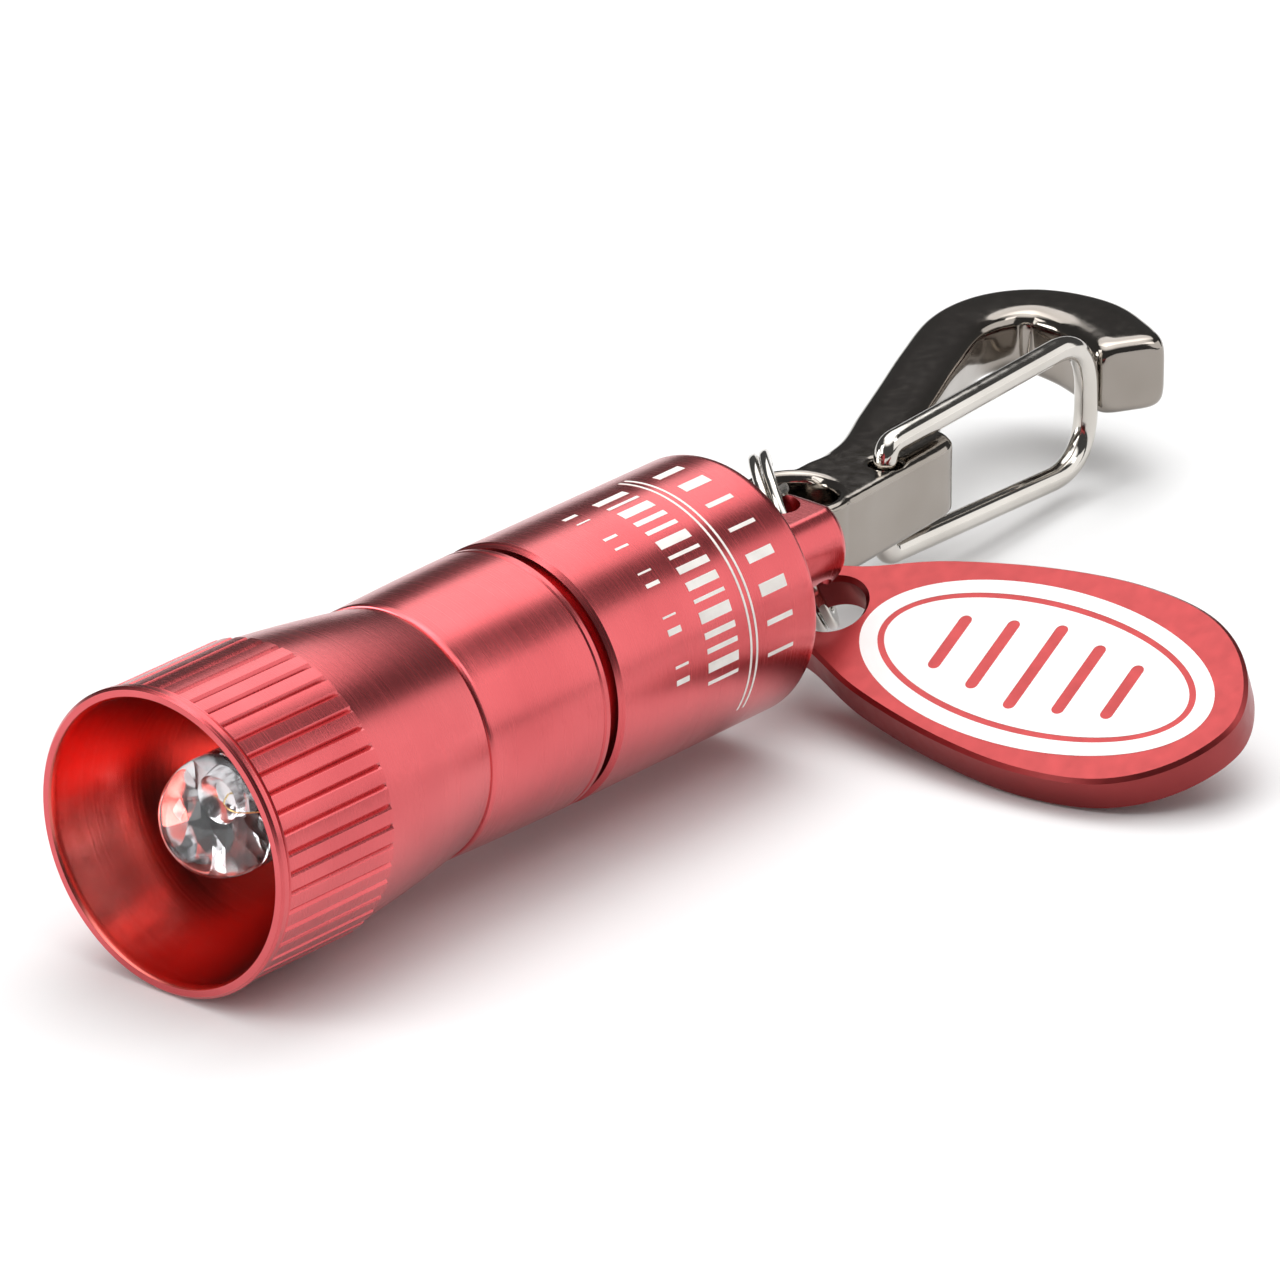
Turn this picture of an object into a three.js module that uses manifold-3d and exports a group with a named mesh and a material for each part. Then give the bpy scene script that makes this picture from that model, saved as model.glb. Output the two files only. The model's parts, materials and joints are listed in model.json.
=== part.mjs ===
// Keychain flashlight: a twist-head coin-cell light with a split ring, a snap hook and a teardrop tag.
// Millimetres, +Z up, +X from the lens end towards the key ring. Everything is first laid out with the
// light's axis on X and the front rim at x = 0; at the end the assembly is stood on z = 0 and centred.
import * as THREE from 'three';
import { mergeVertices } from 'three/addons/utils/BufferGeometryUtils.js';
import Module from 'manifold-3d';

const wasm = await Module();
wasm.setup();

// ---- Driving dimensions ----
// Head
const RIM_RADIUS = 6.5;
const RIM_WALL = 0.45;
const LIP_LENGTH = 0.7;
const GRIP_RADIUS = 6.42;
const GRIP_END = 6.6;
const WAIST_END = 13.5;
const WAIST_RADIUS = 5.42;
const SHOULDER_STEP = 0.1;
const HEAD_LENGTH = 20.7;
const HEAD_REAR_RADIUS = 5.66;
const EDGE = 0.2;
const CUP_DEPTH = 7.9;
const THREAD_PITCH = 0.75;

// Lamp module: a 5 mm LED, its holder, retaining ring and contact
const LED_RADIUS = 2.5;
const LED_DOME_CENTRE = 3.5;
const LED_FLANGE_RADIUS = 2.9;
const LED_BACK = 9.2;
const LED_POCKET_RADIUS = 1.9;
const LEAD_SIZE = 0.5;
const LEAD_SPACING = 2.54;
const LEAD_HEAD_LENGTH = 1.0;
const LEAD_HEAD_START = 4.4;
const CATHODE_HEAD_WIDTH = 1.6;
const CATHODE_END = 13.0;
const ANODE_HEAD_WIDTH = 0.8;
const ANODE_END = 14.95;
const DIE_SIZE = 0.4;
const DIE_HEIGHT = 0.15;
const DIE_PLACE = [4.25, 0.65, 0];
const POCKET_CLEARANCE = 0.15;
const MODULE_RADIUS = 4.3;
const MODULE_END = 14.6;
const CONTACT_GAP = 0.3;
const DISC_RADIUS = 4.9;
const DISC_FRONT = 15.05;
const DISC_THICKNESS = 0.4;
const DISC_BUTTON_RADIUS = 1.5;

// Barrel, threaded neck and cells
const BARREL_START = 21.2;
const BARREL_END = 33.6;
const BARREL_RADIUS = 5.68;
const NECK_RADIUS = 5.0;
const NECK_START = 15.9;
const NECK_BORE_CLEARANCE = 0.2;
const BARREL_BORE = 4.25;
const REAR_WALL = 1.4;
const CELL_RADIUS = 3.95;
const CELL_HEIGHT = 3.6;
const CELL_COUNT = 4;
const CELL_START = 16.4;
const CELL_GAP = 0.02;
const O_RING_SECTION = 0.22;
const O_RING_PLACE = 20.2;
const O_RING_GROOVE_DEPTH = 0.32;
const O_RING_GROOVE_HALF_WIDTH = 0.35;
const SPRING_WIRE_RADIUS = 0.16;
const SPRING_TURNS = 2;
const SPRING_WIDE_RADIUS = 3.0;
const SPRING_NARROW_RADIUS = 1.6;

// Lug and split ring
const LUG_RADIUS = 2.1;
const LUG_HALF_HEIGHT = 1.75;
const LUG_END = 40.1;
const LUG_HOLE_PLACE = 38.6;
const LUG_HOLE_RADIUS = 1.1;
const LUG_HOLE_ROLL = 30;
const LUG_CHAMFER = 0.35;
const RING_RADIUS = 3.75;
const RING_TURN = 41;
const RING_WIRE_WIDTH = 0.44;
const RING_WIRE_DEPTH = 0.7;
const RING_COIL_PITCH = 0.5;
const RING_OFFSET = 0.3;
const RING_END_GAP = 26;
const RING_END_PLACE = 60;

// Snap hook
const HOOK_EYE = [43.4, 4.0];
const HOOK_TURN = 5;
const HOOK_TOP = 0;
const HOOK_THICKNESS = 3.5;
const EYE_RADIUS = 2.5;
const EYE_HOLE_RADIUS = 1.75;
const BLOCK_LENGTH = 9.3;
const BLOCK_NEAR = 2.75;
const BLOCK_FAR = 1.35;
const BLOCK_CORNER = 1.7;
const BLOCK_START = -0.3;
const HOOK_CHAMFER = 0.3;
const GATE_WIRE_RADIUS = 0.53;
const GATE_PIVOT = [4.7, -1.7];
const GATE_END = 20.4;
const GATE_SPREAD = 1.2;
const GATE_BEND = 2.8;
const GATE_TIGHT_BEND = 0.7;
const GATE_CLEARANCE = 0.25;
const PIVOT_HOLE_RADIUS = 0.75;
const PIVOT_HOLE_DEPTH = 0.9;

// Tag
const TAG_HOLE_PLACE = [39.75, -1.58, -3.17];
const TAG_HOLE_RADIUS = 1.45;
const TAG_LENGTH = 19.8;
const TAG_NARROW_RADIUS = 2.5;
const TAG_HALF_WIDTH = 5.55;
const TAG_THICKNESS = 1.8;
const TAG_TILT = 25.2;
const TAG_YAW = -80.6;
const TAG_SWING = -3;
const TAG_BEVEL = 0.15;

const AROUND = 48;
const AROUND_SMALL = 24;
const AROUND_MEDIUM = 32;

// ---- Materials ----
const metal = (color, roughness) => new THREE.MeshStandardMaterial({ color, roughness, metalness: 1 });
const plastic = (color, roughness) => new THREE.MeshStandardMaterial({ color, roughness, metalness: 0 });
const RED_ANODISED = metal(0xb8323c, 0.35);
const POLISHED_NICKEL = metal(0xd9d6cf, 0.12);
const DARK_NICKEL = metal(0x6a655e, 0.18);
const BRASS = metal(0xc9a24a, 0.3);
const STEEL = metal(0xb9bbbd, 0.25);
const CLEAR_EPOXY = new THREE.MeshStandardMaterial({
  color: 0xf2f5f7, roughness: 0.05, metalness: 0, transparent: true, opacity: 0.35,
});
const BLACK_RUBBER = plastic(0x141414, 0.8);
const WHITE_NYLON = plastic(0xe8e6df, 0.55);
const YELLOW_DIE = plastic(0xe6d34a, 0.5);

// ---- Geometry helpers ----
const radians = THREE.MathUtils.degToRad;

// A geometry reduced to shared positions, with its faces turned outwards.
function tidy(geometry) {
  const plain = geometry.index ? geometry.toNonIndexed() : geometry.clone();
  plain.deleteAttribute('normal');
  plain.deleteAttribute('uv');
  const merged = mergeVertices(plain, 1e-4);
  const position = merged.attributes.position;
  const kept = [];
  let volume = 0;
  const [a, b, c] = [new THREE.Vector3(), new THREE.Vector3(), new THREE.Vector3()];
  for (let i = 0; i < merged.index.count; i += 3) {
    const triangle = [merged.index.getX(i), merged.index.getX(i + 1), merged.index.getX(i + 2)];
    if (new Set(triangle).size < 3) continue;
    a.fromBufferAttribute(position, triangle[0]);
    b.fromBufferAttribute(position, triangle[1]);
    c.fromBufferAttribute(position, triangle[2]);
    volume += a.dot(b.cross(c));
    kept.push(triangle);
  }
  const outward = volume > 0 ? kept : kept.map(([p, q, r]) => [p, r, q]);
  merged.setIndex(outward.flat());
  return merged;
}

function toSolid(geometry) {
  const shared = tidy(geometry);
  return new wasm.Manifold(new wasm.Mesh({
    numProp: 3,
    vertProperties: new Float32Array(shared.attributes.position.array),
    triVerts: new Uint32Array(shared.index.array),
  }));
}

function fromSolid(solid) {
  const mesh = solid.getMesh();
  const geometry = new THREE.BufferGeometry();
  geometry.setAttribute('position', new THREE.BufferAttribute(mesh.vertProperties, 3));
  geometry.setIndex(new THREE.BufferAttribute(mesh.triVerts, 1));
  return geometry;
}

const join = (...shapes) => fromSolid(shapes.map(toSolid).reduce((whole, shape) => whole.add(shape)));

function cut(shape, ...tools) {
  return fromSolid(tools.map(toSolid).reduce((rest, tool) => rest.subtract(tool), toSolid(shape)));
}

// A body of revolution about X, from [x, radius] points.
function turned(profile, around = AROUND) {
  const points = profile.map(([x, radius]) => new THREE.Vector2(radius, x));
  return new THREE.LatheGeometry(points, around).rotateZ(-Math.PI / 2);
}

// The same, closed on itself: a sleeve or ring with a bore.
const turnedRing = (profile, around) => turned([...profile, profile[0]], around);

// A straight round rod or plug from one point to another.
function rod(from, to, radius, around = AROUND_SMALL) {
  const span = new THREE.Vector3().subVectors(to, from);
  const geometry = new THREE.CylinderGeometry(radius, radius, span.length(), around);
  geometry.applyQuaternion(new THREE.Quaternion().setFromUnitVectors(new THREE.Vector3(0, 1, 0),
    span.clone().normalize()));
  return geometry.translate(...from.clone().addScaledVector(span, 0.5).toArray());
}

// A skin over a row of equal sections, each a loop of points, closed by a flat cap at either end.
function loft(sections) {
  const count = sections[0].length;
  const positions = sections.flat().flatMap((point) => point.toArray());
  const faces = [];
  for (let row = 0; row < sections.length - 1; row += 1) {
    for (let i = 0; i < count; i += 1) {
      const here = row * count + i;
      const next = row * count + ((i + 1) % count);
      faces.push(here, next, next + count, here, next + count, here + count);
    }
  }
  const last = (sections.length - 1) * count;
  for (let i = 1; i < count - 1; i += 1) {
    faces.push(0, i + 1, i, last, last + i, last + i + 1);
  }
  const geometry = new THREE.BufferGeometry();
  geometry.setAttribute('position', new THREE.Float32BufferAttribute(positions, 3));
  geometry.setIndex(faces);
  return geometry;
}

// A quarter-to-full arc or any curve between two profile points, bulging towards a control point.
function bend(from, control, to, steps) {
  const curve = new THREE.QuadraticBezierCurve(new THREE.Vector2(...from), new THREE.Vector2(...control),
    new THREE.Vector2(...to));
  return curve.getPoints(steps).map((point) => [point.x, point.y]);
}

const assembly = new THREE.Group();

function add(name, geometry, material, parent = assembly) {
  const mesh = new THREE.Mesh(tidy(geometry), material);
  mesh.name = name;
  parent.add(mesh);
}

// ---- Head ----
function headShell() {
  const boreRadius = NECK_RADIUS + NECK_BORE_CLEARANCE;
  const outside = [
    [EDGE, RIM_RADIUS],
    [LIP_LENGTH, RIM_RADIUS],
    [LIP_LENGTH + EDGE, GRIP_RADIUS],
    [GRIP_END - EDGE, GRIP_RADIUS],
    ...bend([GRIP_END, GRIP_RADIUS - EDGE / 2], [(GRIP_END + WAIST_END) / 2, GRIP_RADIUS - 0.4],
      [WAIST_END, WAIST_RADIUS], 6),
    [WAIST_END + SHOULDER_STEP, WAIST_RADIUS + SHOULDER_STEP],
    ...bend([WAIST_END + 2 * SHOULDER_STEP, WAIST_RADIUS + SHOULDER_STEP],
      [WAIST_END + 3, HEAD_REAR_RADIUS - 0.03], [HEAD_LENGTH - EDGE, HEAD_REAR_RADIUS], 4),
    [HEAD_LENGTH, HEAD_REAR_RADIUS - EDGE],
  ];
  const inside = [
    [HEAD_LENGTH, boreRadius],
    [MODULE_END, boreRadius],
    [MODULE_END, MODULE_RADIUS],
    [LED_BACK + 0.2, MODULE_RADIUS],
    [LED_BACK + 0.2, LED_FLANGE_RADIUS + POCKET_CLEARANCE],
    [LED_BACK - 1.1, LED_FLANGE_RADIUS + POCKET_CLEARANCE],
    [LED_BACK - 1.1, LED_RADIUS + POCKET_CLEARANCE],
  ];
  const cup = bend([CUP_DEPTH, LED_RADIUS + POCKET_CLEARANCE], [CUP_DEPTH * 0.72, 5.1],
    [0, RIM_RADIUS - RIM_WALL], 9);
  return turnedRing([[0, RIM_RADIUS - EDGE], ...outside, ...inside, ...cup]);
}

function ledLens() {
  const dome = [];
  const steps = 8;
  for (let i = 0; i <= steps; i += 1) {
    const angle = (i / steps) * Math.PI / 2;
    dome.push([LED_DOME_CENTRE - LED_RADIUS * Math.cos(angle), LED_RADIUS * Math.sin(angle)]);
  }
  return turned([
    ...dome,
    [LED_BACK - 1.0, LED_RADIUS],
    [LED_BACK - 1.0, LED_FLANGE_RADIUS],
    [LED_BACK, LED_FLANGE_RADIUS],
    [LED_BACK, LED_POCKET_RADIUS],
    [LED_DOME_CENTRE + 0.6, LED_POCKET_RADIUS],
    [LED_DOME_CENTRE + 0.6, 0],
  ], AROUND_MEDIUM);
}

// One LED lead: a square leg with a broad head inside the lens.
function ledLead(side, headWidth, legEnd) {
  const legStart = LEAD_HEAD_START + LEAD_HEAD_LENGTH - 0.4;
  const leg = new THREE.BoxGeometry(legEnd - legStart, LEAD_SIZE, LEAD_SIZE)
    .translate((legStart + legEnd) / 2, side * LEAD_SPACING / 2, 0);
  const outerEdge = LEAD_SPACING / 2 + LEAD_SIZE / 2;
  const head = new THREE.BoxGeometry(LEAD_HEAD_LENGTH, headWidth, LEAD_HEAD_LENGTH)
    .translate(LEAD_HEAD_START + LEAD_HEAD_LENGTH / 2, side * (outerEdge - headWidth / 2), 0);
  return join(leg, head);
}

function ledDie() {
  return new THREE.BoxGeometry(DIE_HEIGHT, DIE_SIZE, DIE_SIZE).translate(...DIE_PLACE);
}

const moduleRing = (from, to, inner, outer) => turnedRing([
  [from, inner], [from, outer], [to, outer], [to, inner],
], AROUND_MEDIUM);

function contactDisc() {
  const face = DISC_FRONT + DISC_THICKNESS;
  const tip = CELL_START - CONTACT_GAP;
  return turned([
    [DISC_FRONT, 0],
    [DISC_FRONT, DISC_RADIUS],
    [face, DISC_RADIUS],
    [face, DISC_BUTTON_RADIUS],
    [tip, DISC_BUTTON_RADIUS - EDGE],
    [tip, 0],
  ], AROUND_SMALL);
}

// ---- Barrel ----
function barrelShell() {
  const groove = NECK_RADIUS - O_RING_GROOVE_DEPTH;
  const grooveStart = O_RING_PLACE - O_RING_GROOVE_HALF_WIDTH;
  const grooveEnd = O_RING_PLACE + O_RING_GROOVE_HALF_WIDTH;
  return turned([
    [NECK_START, BARREL_BORE],
    [NECK_START, NECK_RADIUS - EDGE],
    [NECK_START + EDGE, NECK_RADIUS],
    [grooveStart, NECK_RADIUS],
    [grooveStart, groove],
    [grooveEnd, groove],
    [grooveEnd, NECK_RADIUS],
    [BARREL_START, NECK_RADIUS],
    [BARREL_START, BARREL_RADIUS - EDGE],
    [BARREL_START + EDGE, BARREL_RADIUS],
    [BARREL_END - EDGE, BARREL_RADIUS],
    [BARREL_END, BARREL_RADIUS - EDGE],
    [BARREL_END, LUG_RADIUS],
    [LUG_END - LUG_CHAMFER, LUG_RADIUS],
    [LUG_END, LUG_RADIUS - LUG_CHAMFER],
    [LUG_END, 0],
    [BARREL_END - REAR_WALL, 0],
    [BARREL_END - REAR_WALL, BARREL_BORE],
    [NECK_START, BARREL_BORE],
  ]);
}

const holeRoll = radians(LUG_HOLE_ROLL);
const holeDirection = new THREE.Vector3(0, Math.sin(holeRoll), Math.cos(holeRoll));
const holeCentre = new THREE.Vector3(LUG_HOLE_PLACE, 0, 0);

// The barrel with its lug milled flat top and bottom and cross-drilled for the ring.
function tailBarrel() {
  const length = LUG_END - BARREL_END + 1;
  const slab = (sign) => new THREE.BoxGeometry(length, 2 * LUG_RADIUS, 1)
    .translate(BARREL_END + 0.4 + length / 2, 0, sign * (LUG_HALF_HEIGHT + 0.5));
  const reach = 2 * LUG_RADIUS;
  const drill = rod(holeCentre.clone().addScaledVector(holeDirection, -reach),
    holeCentre.clone().addScaledVector(holeDirection, reach), LUG_HOLE_RADIUS);
  return cut(barrelShell(), slab(1), slab(-1), drill);
}

function oRing() {
  const middle = NECK_RADIUS - 0.05;
  const section = [];
  for (let i = 0; i < 10; i += 1) {
    const angle = (i / 10) * 2 * Math.PI;
    const along = O_RING_PLACE + O_RING_SECTION * Math.cos(angle);
    section.push([along, middle + O_RING_SECTION * Math.sin(angle)]);
  }
  return turnedRing(section);
}

function cell(index) {
  const from = CELL_START + index * (CELL_HEIGHT + CELL_GAP);
  const can = from + CELL_HEIGHT;
  return turned([
    [from, 0],
    [from, 2.9],
    [from + 0.3, 3.2],
    [from + 0.3, CELL_RADIUS - 0.15],
    [from + 0.45, CELL_RADIUS],
    [can, CELL_RADIUS],
    [can, 0],
  ], AROUND_MEDIUM);
}

// A tapered coil standing on the barrel's rear wall.
function contactSpring() {
  const steps = 32;
  const from = BARREL_END - REAR_WALL - 0.2;
  const to = CELL_START + CELL_COUNT * (CELL_HEIGHT + CELL_GAP) + 0.2;
  const sections = [];
  for (let i = 0; i <= steps; i += 1) {
    const part = i / steps;
    const angle = part * SPRING_TURNS * 2 * Math.PI;
    const radius = THREE.MathUtils.lerp(SPRING_WIDE_RADIUS, SPRING_NARROW_RADIUS, part);
    const x = THREE.MathUtils.lerp(from, to, part);
    const section = [];
    for (let k = 0; k < 6; k += 1) {
      const around = (k / 6) * 2 * Math.PI;
      const along = x + SPRING_WIRE_RADIUS * Math.sin(around);
      const out = radius + SPRING_WIRE_RADIUS * Math.cos(around);
      section.push(new THREE.Vector3(along, out * Math.cos(angle), out * Math.sin(angle)));
    }
    sections.push(section);
  }
  return loft(sections);
}

// ---- Split ring ----
const ringAcross = new THREE.Vector3(Math.cos(radians(RING_TURN)), 0, 0).addScaledVector(
  new THREE.Vector3(0, Math.cos(holeRoll), -Math.sin(holeRoll)),
  Math.sin(radians(RING_TURN)));
const ringUp = holeDirection;
const ringAxis = new THREE.Vector3().crossVectors(ringAcross, ringUp);
const ringCentre = holeCentre.clone().addScaledVector(ringAcross, RING_RADIUS - RING_OFFSET);

// Two flat-wire coils side by side, joined by one short ramp.
function splitRing() {
  const gap = RING_END_GAP;
  const steps = 88;
  const corners = [
    [0.3, 0.5], [0.5, 0.3], [0.5, -0.3], [0.3, -0.5],
    [-0.3, -0.5], [-0.5, -0.3], [-0.5, 0.3], [-0.3, 0.5],
  ];
  const sections = [];
  for (let i = 0; i <= steps; i += 1) {
    const degrees = THREE.MathUtils.lerp(gap, 720 - gap, i / steps);
    const ramp = THREE.MathUtils.smoothstep(degrees, 360 - gap, 360 + gap);
    const shift = (ramp - 0.5) * RING_COIL_PITCH;
    const angle = radians(degrees + RING_END_PLACE);
    const out = ringAcross.clone().multiplyScalar(Math.cos(angle))
      .addScaledVector(ringUp, Math.sin(angle));
    sections.push(corners.map(([radial, axial]) => ringCentre.clone()
      .addScaledVector(out, RING_RADIUS + radial * RING_WIRE_DEPTH)
      .addScaledVector(ringAxis, shift + axial * RING_WIRE_WIDTH)));
  }
  return loft(sections);
}

// ---- Snap hook, in its own plan: length along the hook, side towards the spine, z up ----
const hook = new THREE.Group();
hook.position.set(HOOK_EYE[0], HOOK_EYE[1], 0);
hook.rotation.z = radians(HOOK_TURN);
assembly.add(hook);

// The spine and nose, a row per station: length, side, width in plan, thickness below the top.
const SPINE = [
  [2.6, -0.3, 3.2, 3.4],
  [6, 0.2, 2.8, 3.0],
  [9.4, 1.35, 2.9, 2.7],
  [12.6, 2.5, 2.9, 2.6],
  [16.3, 3.85, 2.9, 2.6],
  [20.0, 4.95, 3.0, 2.7],
  [22.6, 4.7, 3.3, 2.9],
  [24.2, 3.3, 3.6, 3.2],
  [24.4, 1.0, 4.0, 3.4],
  [23.5, -1.1, 3.8, 3.5],
  [22.35, -2.85, 3.5, 3.5],
];

// A rounded-square section: each coordinate eased outwards from a circle's.
const SECTION_EASING = 0.55;
const eased = (value) => Math.sign(value) * Math.abs(value) ** SECTION_EASING;

function spineLoft() {
  const steps = 26;
  const around = 16;
  const track = (pick) => new THREE.CatmullRomCurve3(
    SPINE.map((row, i) => pick(row, i)), false, 'centripetal');
  const route = track(([x, y]) => new THREE.Vector3(x, y, 0));
  const size = track(([, , width, thickness], i) => new THREE.Vector3(i, width, thickness));
  const sections = [];
  for (let i = 0; i <= steps; i += 1) {
    const centre = route.getPoint(i / steps);
    const ahead = route.getTangent(i / steps);
    const { y: width, z: thickness } = size.getPoint(i / steps);
    const section = [];
    for (let k = 0; k < around; k += 1) {
      const angle = ((k + 0.5) / around) * 2 * Math.PI;
      const across = (width / 2) * eased(Math.cos(angle));
      const height = HOOK_TOP + (thickness / 2) * (eased(Math.sin(angle)) - 1);
      section.push(new THREE.Vector3(centre.x - ahead.y * across, centre.y + ahead.x * across, height));
    }
    sections.push(section);
  }
  return loft(sections);
}

function hookBlock() {
  const shape = new THREE.Shape();
  shape.moveTo(BLOCK_START, -BLOCK_NEAR);
  shape.lineTo(BLOCK_LENGTH - BLOCK_CORNER, -BLOCK_NEAR);
  shape.quadraticCurveTo(BLOCK_LENGTH, -BLOCK_NEAR, BLOCK_LENGTH, BLOCK_CORNER - BLOCK_NEAR);
  shape.lineTo(BLOCK_LENGTH - 0.6, 0.3);
  shape.lineTo(3, BLOCK_FAR);
  shape.lineTo(BLOCK_START, BLOCK_FAR);
  return new THREE.ExtrudeGeometry(shape, {
    depth: HOOK_THICKNESS - 2 * HOOK_CHAMFER, bevelThickness: HOOK_CHAMFER, bevelSize: HOOK_CHAMFER,
    bevelOffset: -HOOK_CHAMFER, bevelSegments: 1, curveSegments: 5,
  }).translate(0, 0, HOOK_TOP - HOOK_THICKNESS + HOOK_CHAMFER);
}

function hookBody() {
  const bottom = HOOK_TOP - HOOK_THICKNESS;
  const upright = (x, y, from, to, radius) => rod(
    new THREE.Vector3(x, y, from), new THREE.Vector3(x, y, to), radius);
  const [pivotX, pivotY] = GATE_PIVOT;
  const eyeSide = EYE_RADIUS - BLOCK_NEAR - 0.03;
  const eye = upright(0, eyeSide, bottom, HOOK_TOP, EYE_RADIUS);
  const eyeHole = upright(0, eyeSide, bottom - 1, HOOK_TOP + 1, EYE_HOLE_RADIUS);
  const topPivot = upright(pivotX, pivotY, HOOK_TOP - PIVOT_HOLE_DEPTH, HOOK_TOP + 1, PIVOT_HOLE_RADIUS);
  const bottomPivot = upright(pivotX, pivotY, bottom - 1, bottom + PIVOT_HOLE_DEPTH, PIVOT_HOLE_RADIUS);
  const notchRadius = GATE_WIRE_RADIUS + GATE_CLEARANCE;
  const catchNotch = upright(GATE_END, pivotY, bottom - 1, HOOK_TOP + 1, notchRadius);
  return cut(join(spineLoft(), hookBlock(), eye), eyeHole, topPivot, bottomPivot, catchNotch);
}

// The gate: one length of spring wire from the top pivot hole, round the loop, to the bottom pivot hole.
function gateWire() {
  const [pivotX, pivotY] = GATE_PIVOT;
  const reach = GATE_CLEARANCE + GATE_WIRE_RADIUS;
  const high = HOOK_TOP + reach;
  const low = HOOK_TOP - HOOK_THICKNESS - reach;
  const tight = GATE_TIGHT_BEND;
  const inHole = PIVOT_HOLE_DEPTH - 0.3;
  const point = (x, z) => new THREE.Vector3(x, pivotY, z);
  const corner = (from, middle, to) => new THREE.QuadraticBezierCurve3(from, middle, to);
  const farTurn = GATE_END - GATE_BEND;
  const foot = low - GATE_SPREAD;
  const slope = GATE_SPREAD / (GATE_END - pivotX);
  const lowTurn = foot + GATE_BEND * slope;
  const route = [
    new THREE.LineCurve3(point(pivotX, HOOK_TOP - inHole), point(pivotX, high - tight)),
    corner(point(pivotX, high - tight), point(pivotX, high), point(pivotX + tight, high)),
    new THREE.LineCurve3(point(pivotX + tight, high), point(farTurn, high)),
    corner(point(farTurn, high), point(GATE_END, high), point(GATE_END, high - GATE_BEND)),
    new THREE.LineCurve3(point(GATE_END, high - GATE_BEND), point(GATE_END, foot + GATE_BEND)),
    corner(point(GATE_END, foot + GATE_BEND), point(GATE_END, foot), point(farTurn, lowTurn)),
    new THREE.LineCurve3(point(farTurn, lowTurn), point(pivotX + tight, low - tight * slope)),
    corner(point(pivotX + tight, low - tight * slope), point(pivotX, low), point(pivotX, low + tight)),
    new THREE.LineCurve3(point(pivotX, low + tight), point(pivotX, HOOK_TOP - HOOK_THICKNESS + inHole)),
  ];
  const sections = [];
  const side = new THREE.Vector3(0, 1, 0);
  route.forEach((piece, index) => {
    const steps = piece.isLineCurve3 ? 1 : 7;
    for (let i = index === 0 ? 0 : 1; i <= steps; i += 1) {
      const centre = piece.getPoint(i / steps);
      const across = new THREE.Vector3().crossVectors(piece.getTangent(i / steps), side).normalize();
      const section = [];
      for (let k = 0; k < 10; k += 1) {
        const angle = (k / 10) * 2 * Math.PI;
        section.push(centre.clone().addScaledVector(across, GATE_WIRE_RADIUS * Math.cos(angle))
          .addScaledVector(side, GATE_WIRE_RADIUS * Math.sin(angle)));
      }
      sections.push(section);
    }
  });
  return loft(sections);
}

// ---- Tag, in its own plane: length from the hole, side, and thickness ----
const tagFrame = new THREE.Group();
tagFrame.position.set(...TAG_HOLE_PLACE);
const tagLevel = new THREE.Vector3(Math.cos(radians(TAG_YAW)), Math.sin(radians(TAG_YAW)), 0);
const tagSide = new THREE.Vector3(-tagLevel.y, tagLevel.x, 0).multiplyScalar(Math.cos(radians(TAG_TILT)));
tagSide.z = Math.sin(radians(TAG_TILT));
const tagNormal = new THREE.Vector3().crossVectors(tagLevel, tagSide);
tagFrame.quaternion.setFromRotationMatrix(new THREE.Matrix4().makeBasis(tagLevel, tagSide, tagNormal));
tagFrame.rotateZ(radians(TAG_SWING));
assembly.add(tagFrame);

// The teardrop, drawn in by a margin all round and set at one height.
function tagLoop(margin, height) {
  const upper = [
    [0.7 - TAG_NARROW_RADIUS, 1.75],
    [0.4, TAG_NARROW_RADIUS + 0.1],
    [3.5, 4.0],
    [8, 5.15],
    [12.3, TAG_HALF_WIDTH],
    [16.0, 4.9],
    [18.6, 2.9],
  ];
  const lower = upper.map(([x, y]) => [x, -y]).reverse();
  const loop = [[-TAG_NARROW_RADIUS, 0], ...upper, [TAG_LENGTH, 0], ...lower];
  const corners = loop.map(([x, y]) => new THREE.Vector3(x, y, 0));
  const curve = new THREE.CatmullRomCurve3(corners, true, 'centripetal');
  const steps = 56;
  const points = [];
  for (let i = 0; i < steps; i += 1) {
    const point = curve.getPoint(i / steps);
    const ahead = curve.getTangent(i / steps);
    points.push(new THREE.Vector3(point.x + ahead.y * margin, point.y - ahead.x * margin, height));
  }
  return points;
}

function tagPlate() {
  const top = TAG_THICKNESS / 2;
  const shoulder = top - TAG_BEVEL;
  const plate = loft([
    tagLoop(TAG_BEVEL, -top),
    tagLoop(0, -shoulder),
    tagLoop(0, shoulder),
    tagLoop(TAG_BEVEL, top),
  ]);
  const wide = TAG_HOLE_RADIUS + TAG_BEVEL + 1;
  const drill = turned([
    [-top - 1, 0],
    [-top - 1, wide],
    [-shoulder, TAG_HOLE_RADIUS],
    [shoulder, TAG_HOLE_RADIUS],
    [top + 1, wide],
    [top + 1, 0],
  ], AROUND_SMALL).rotateY(Math.PI / 2);
  return cut(plate, drill);
}

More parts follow.
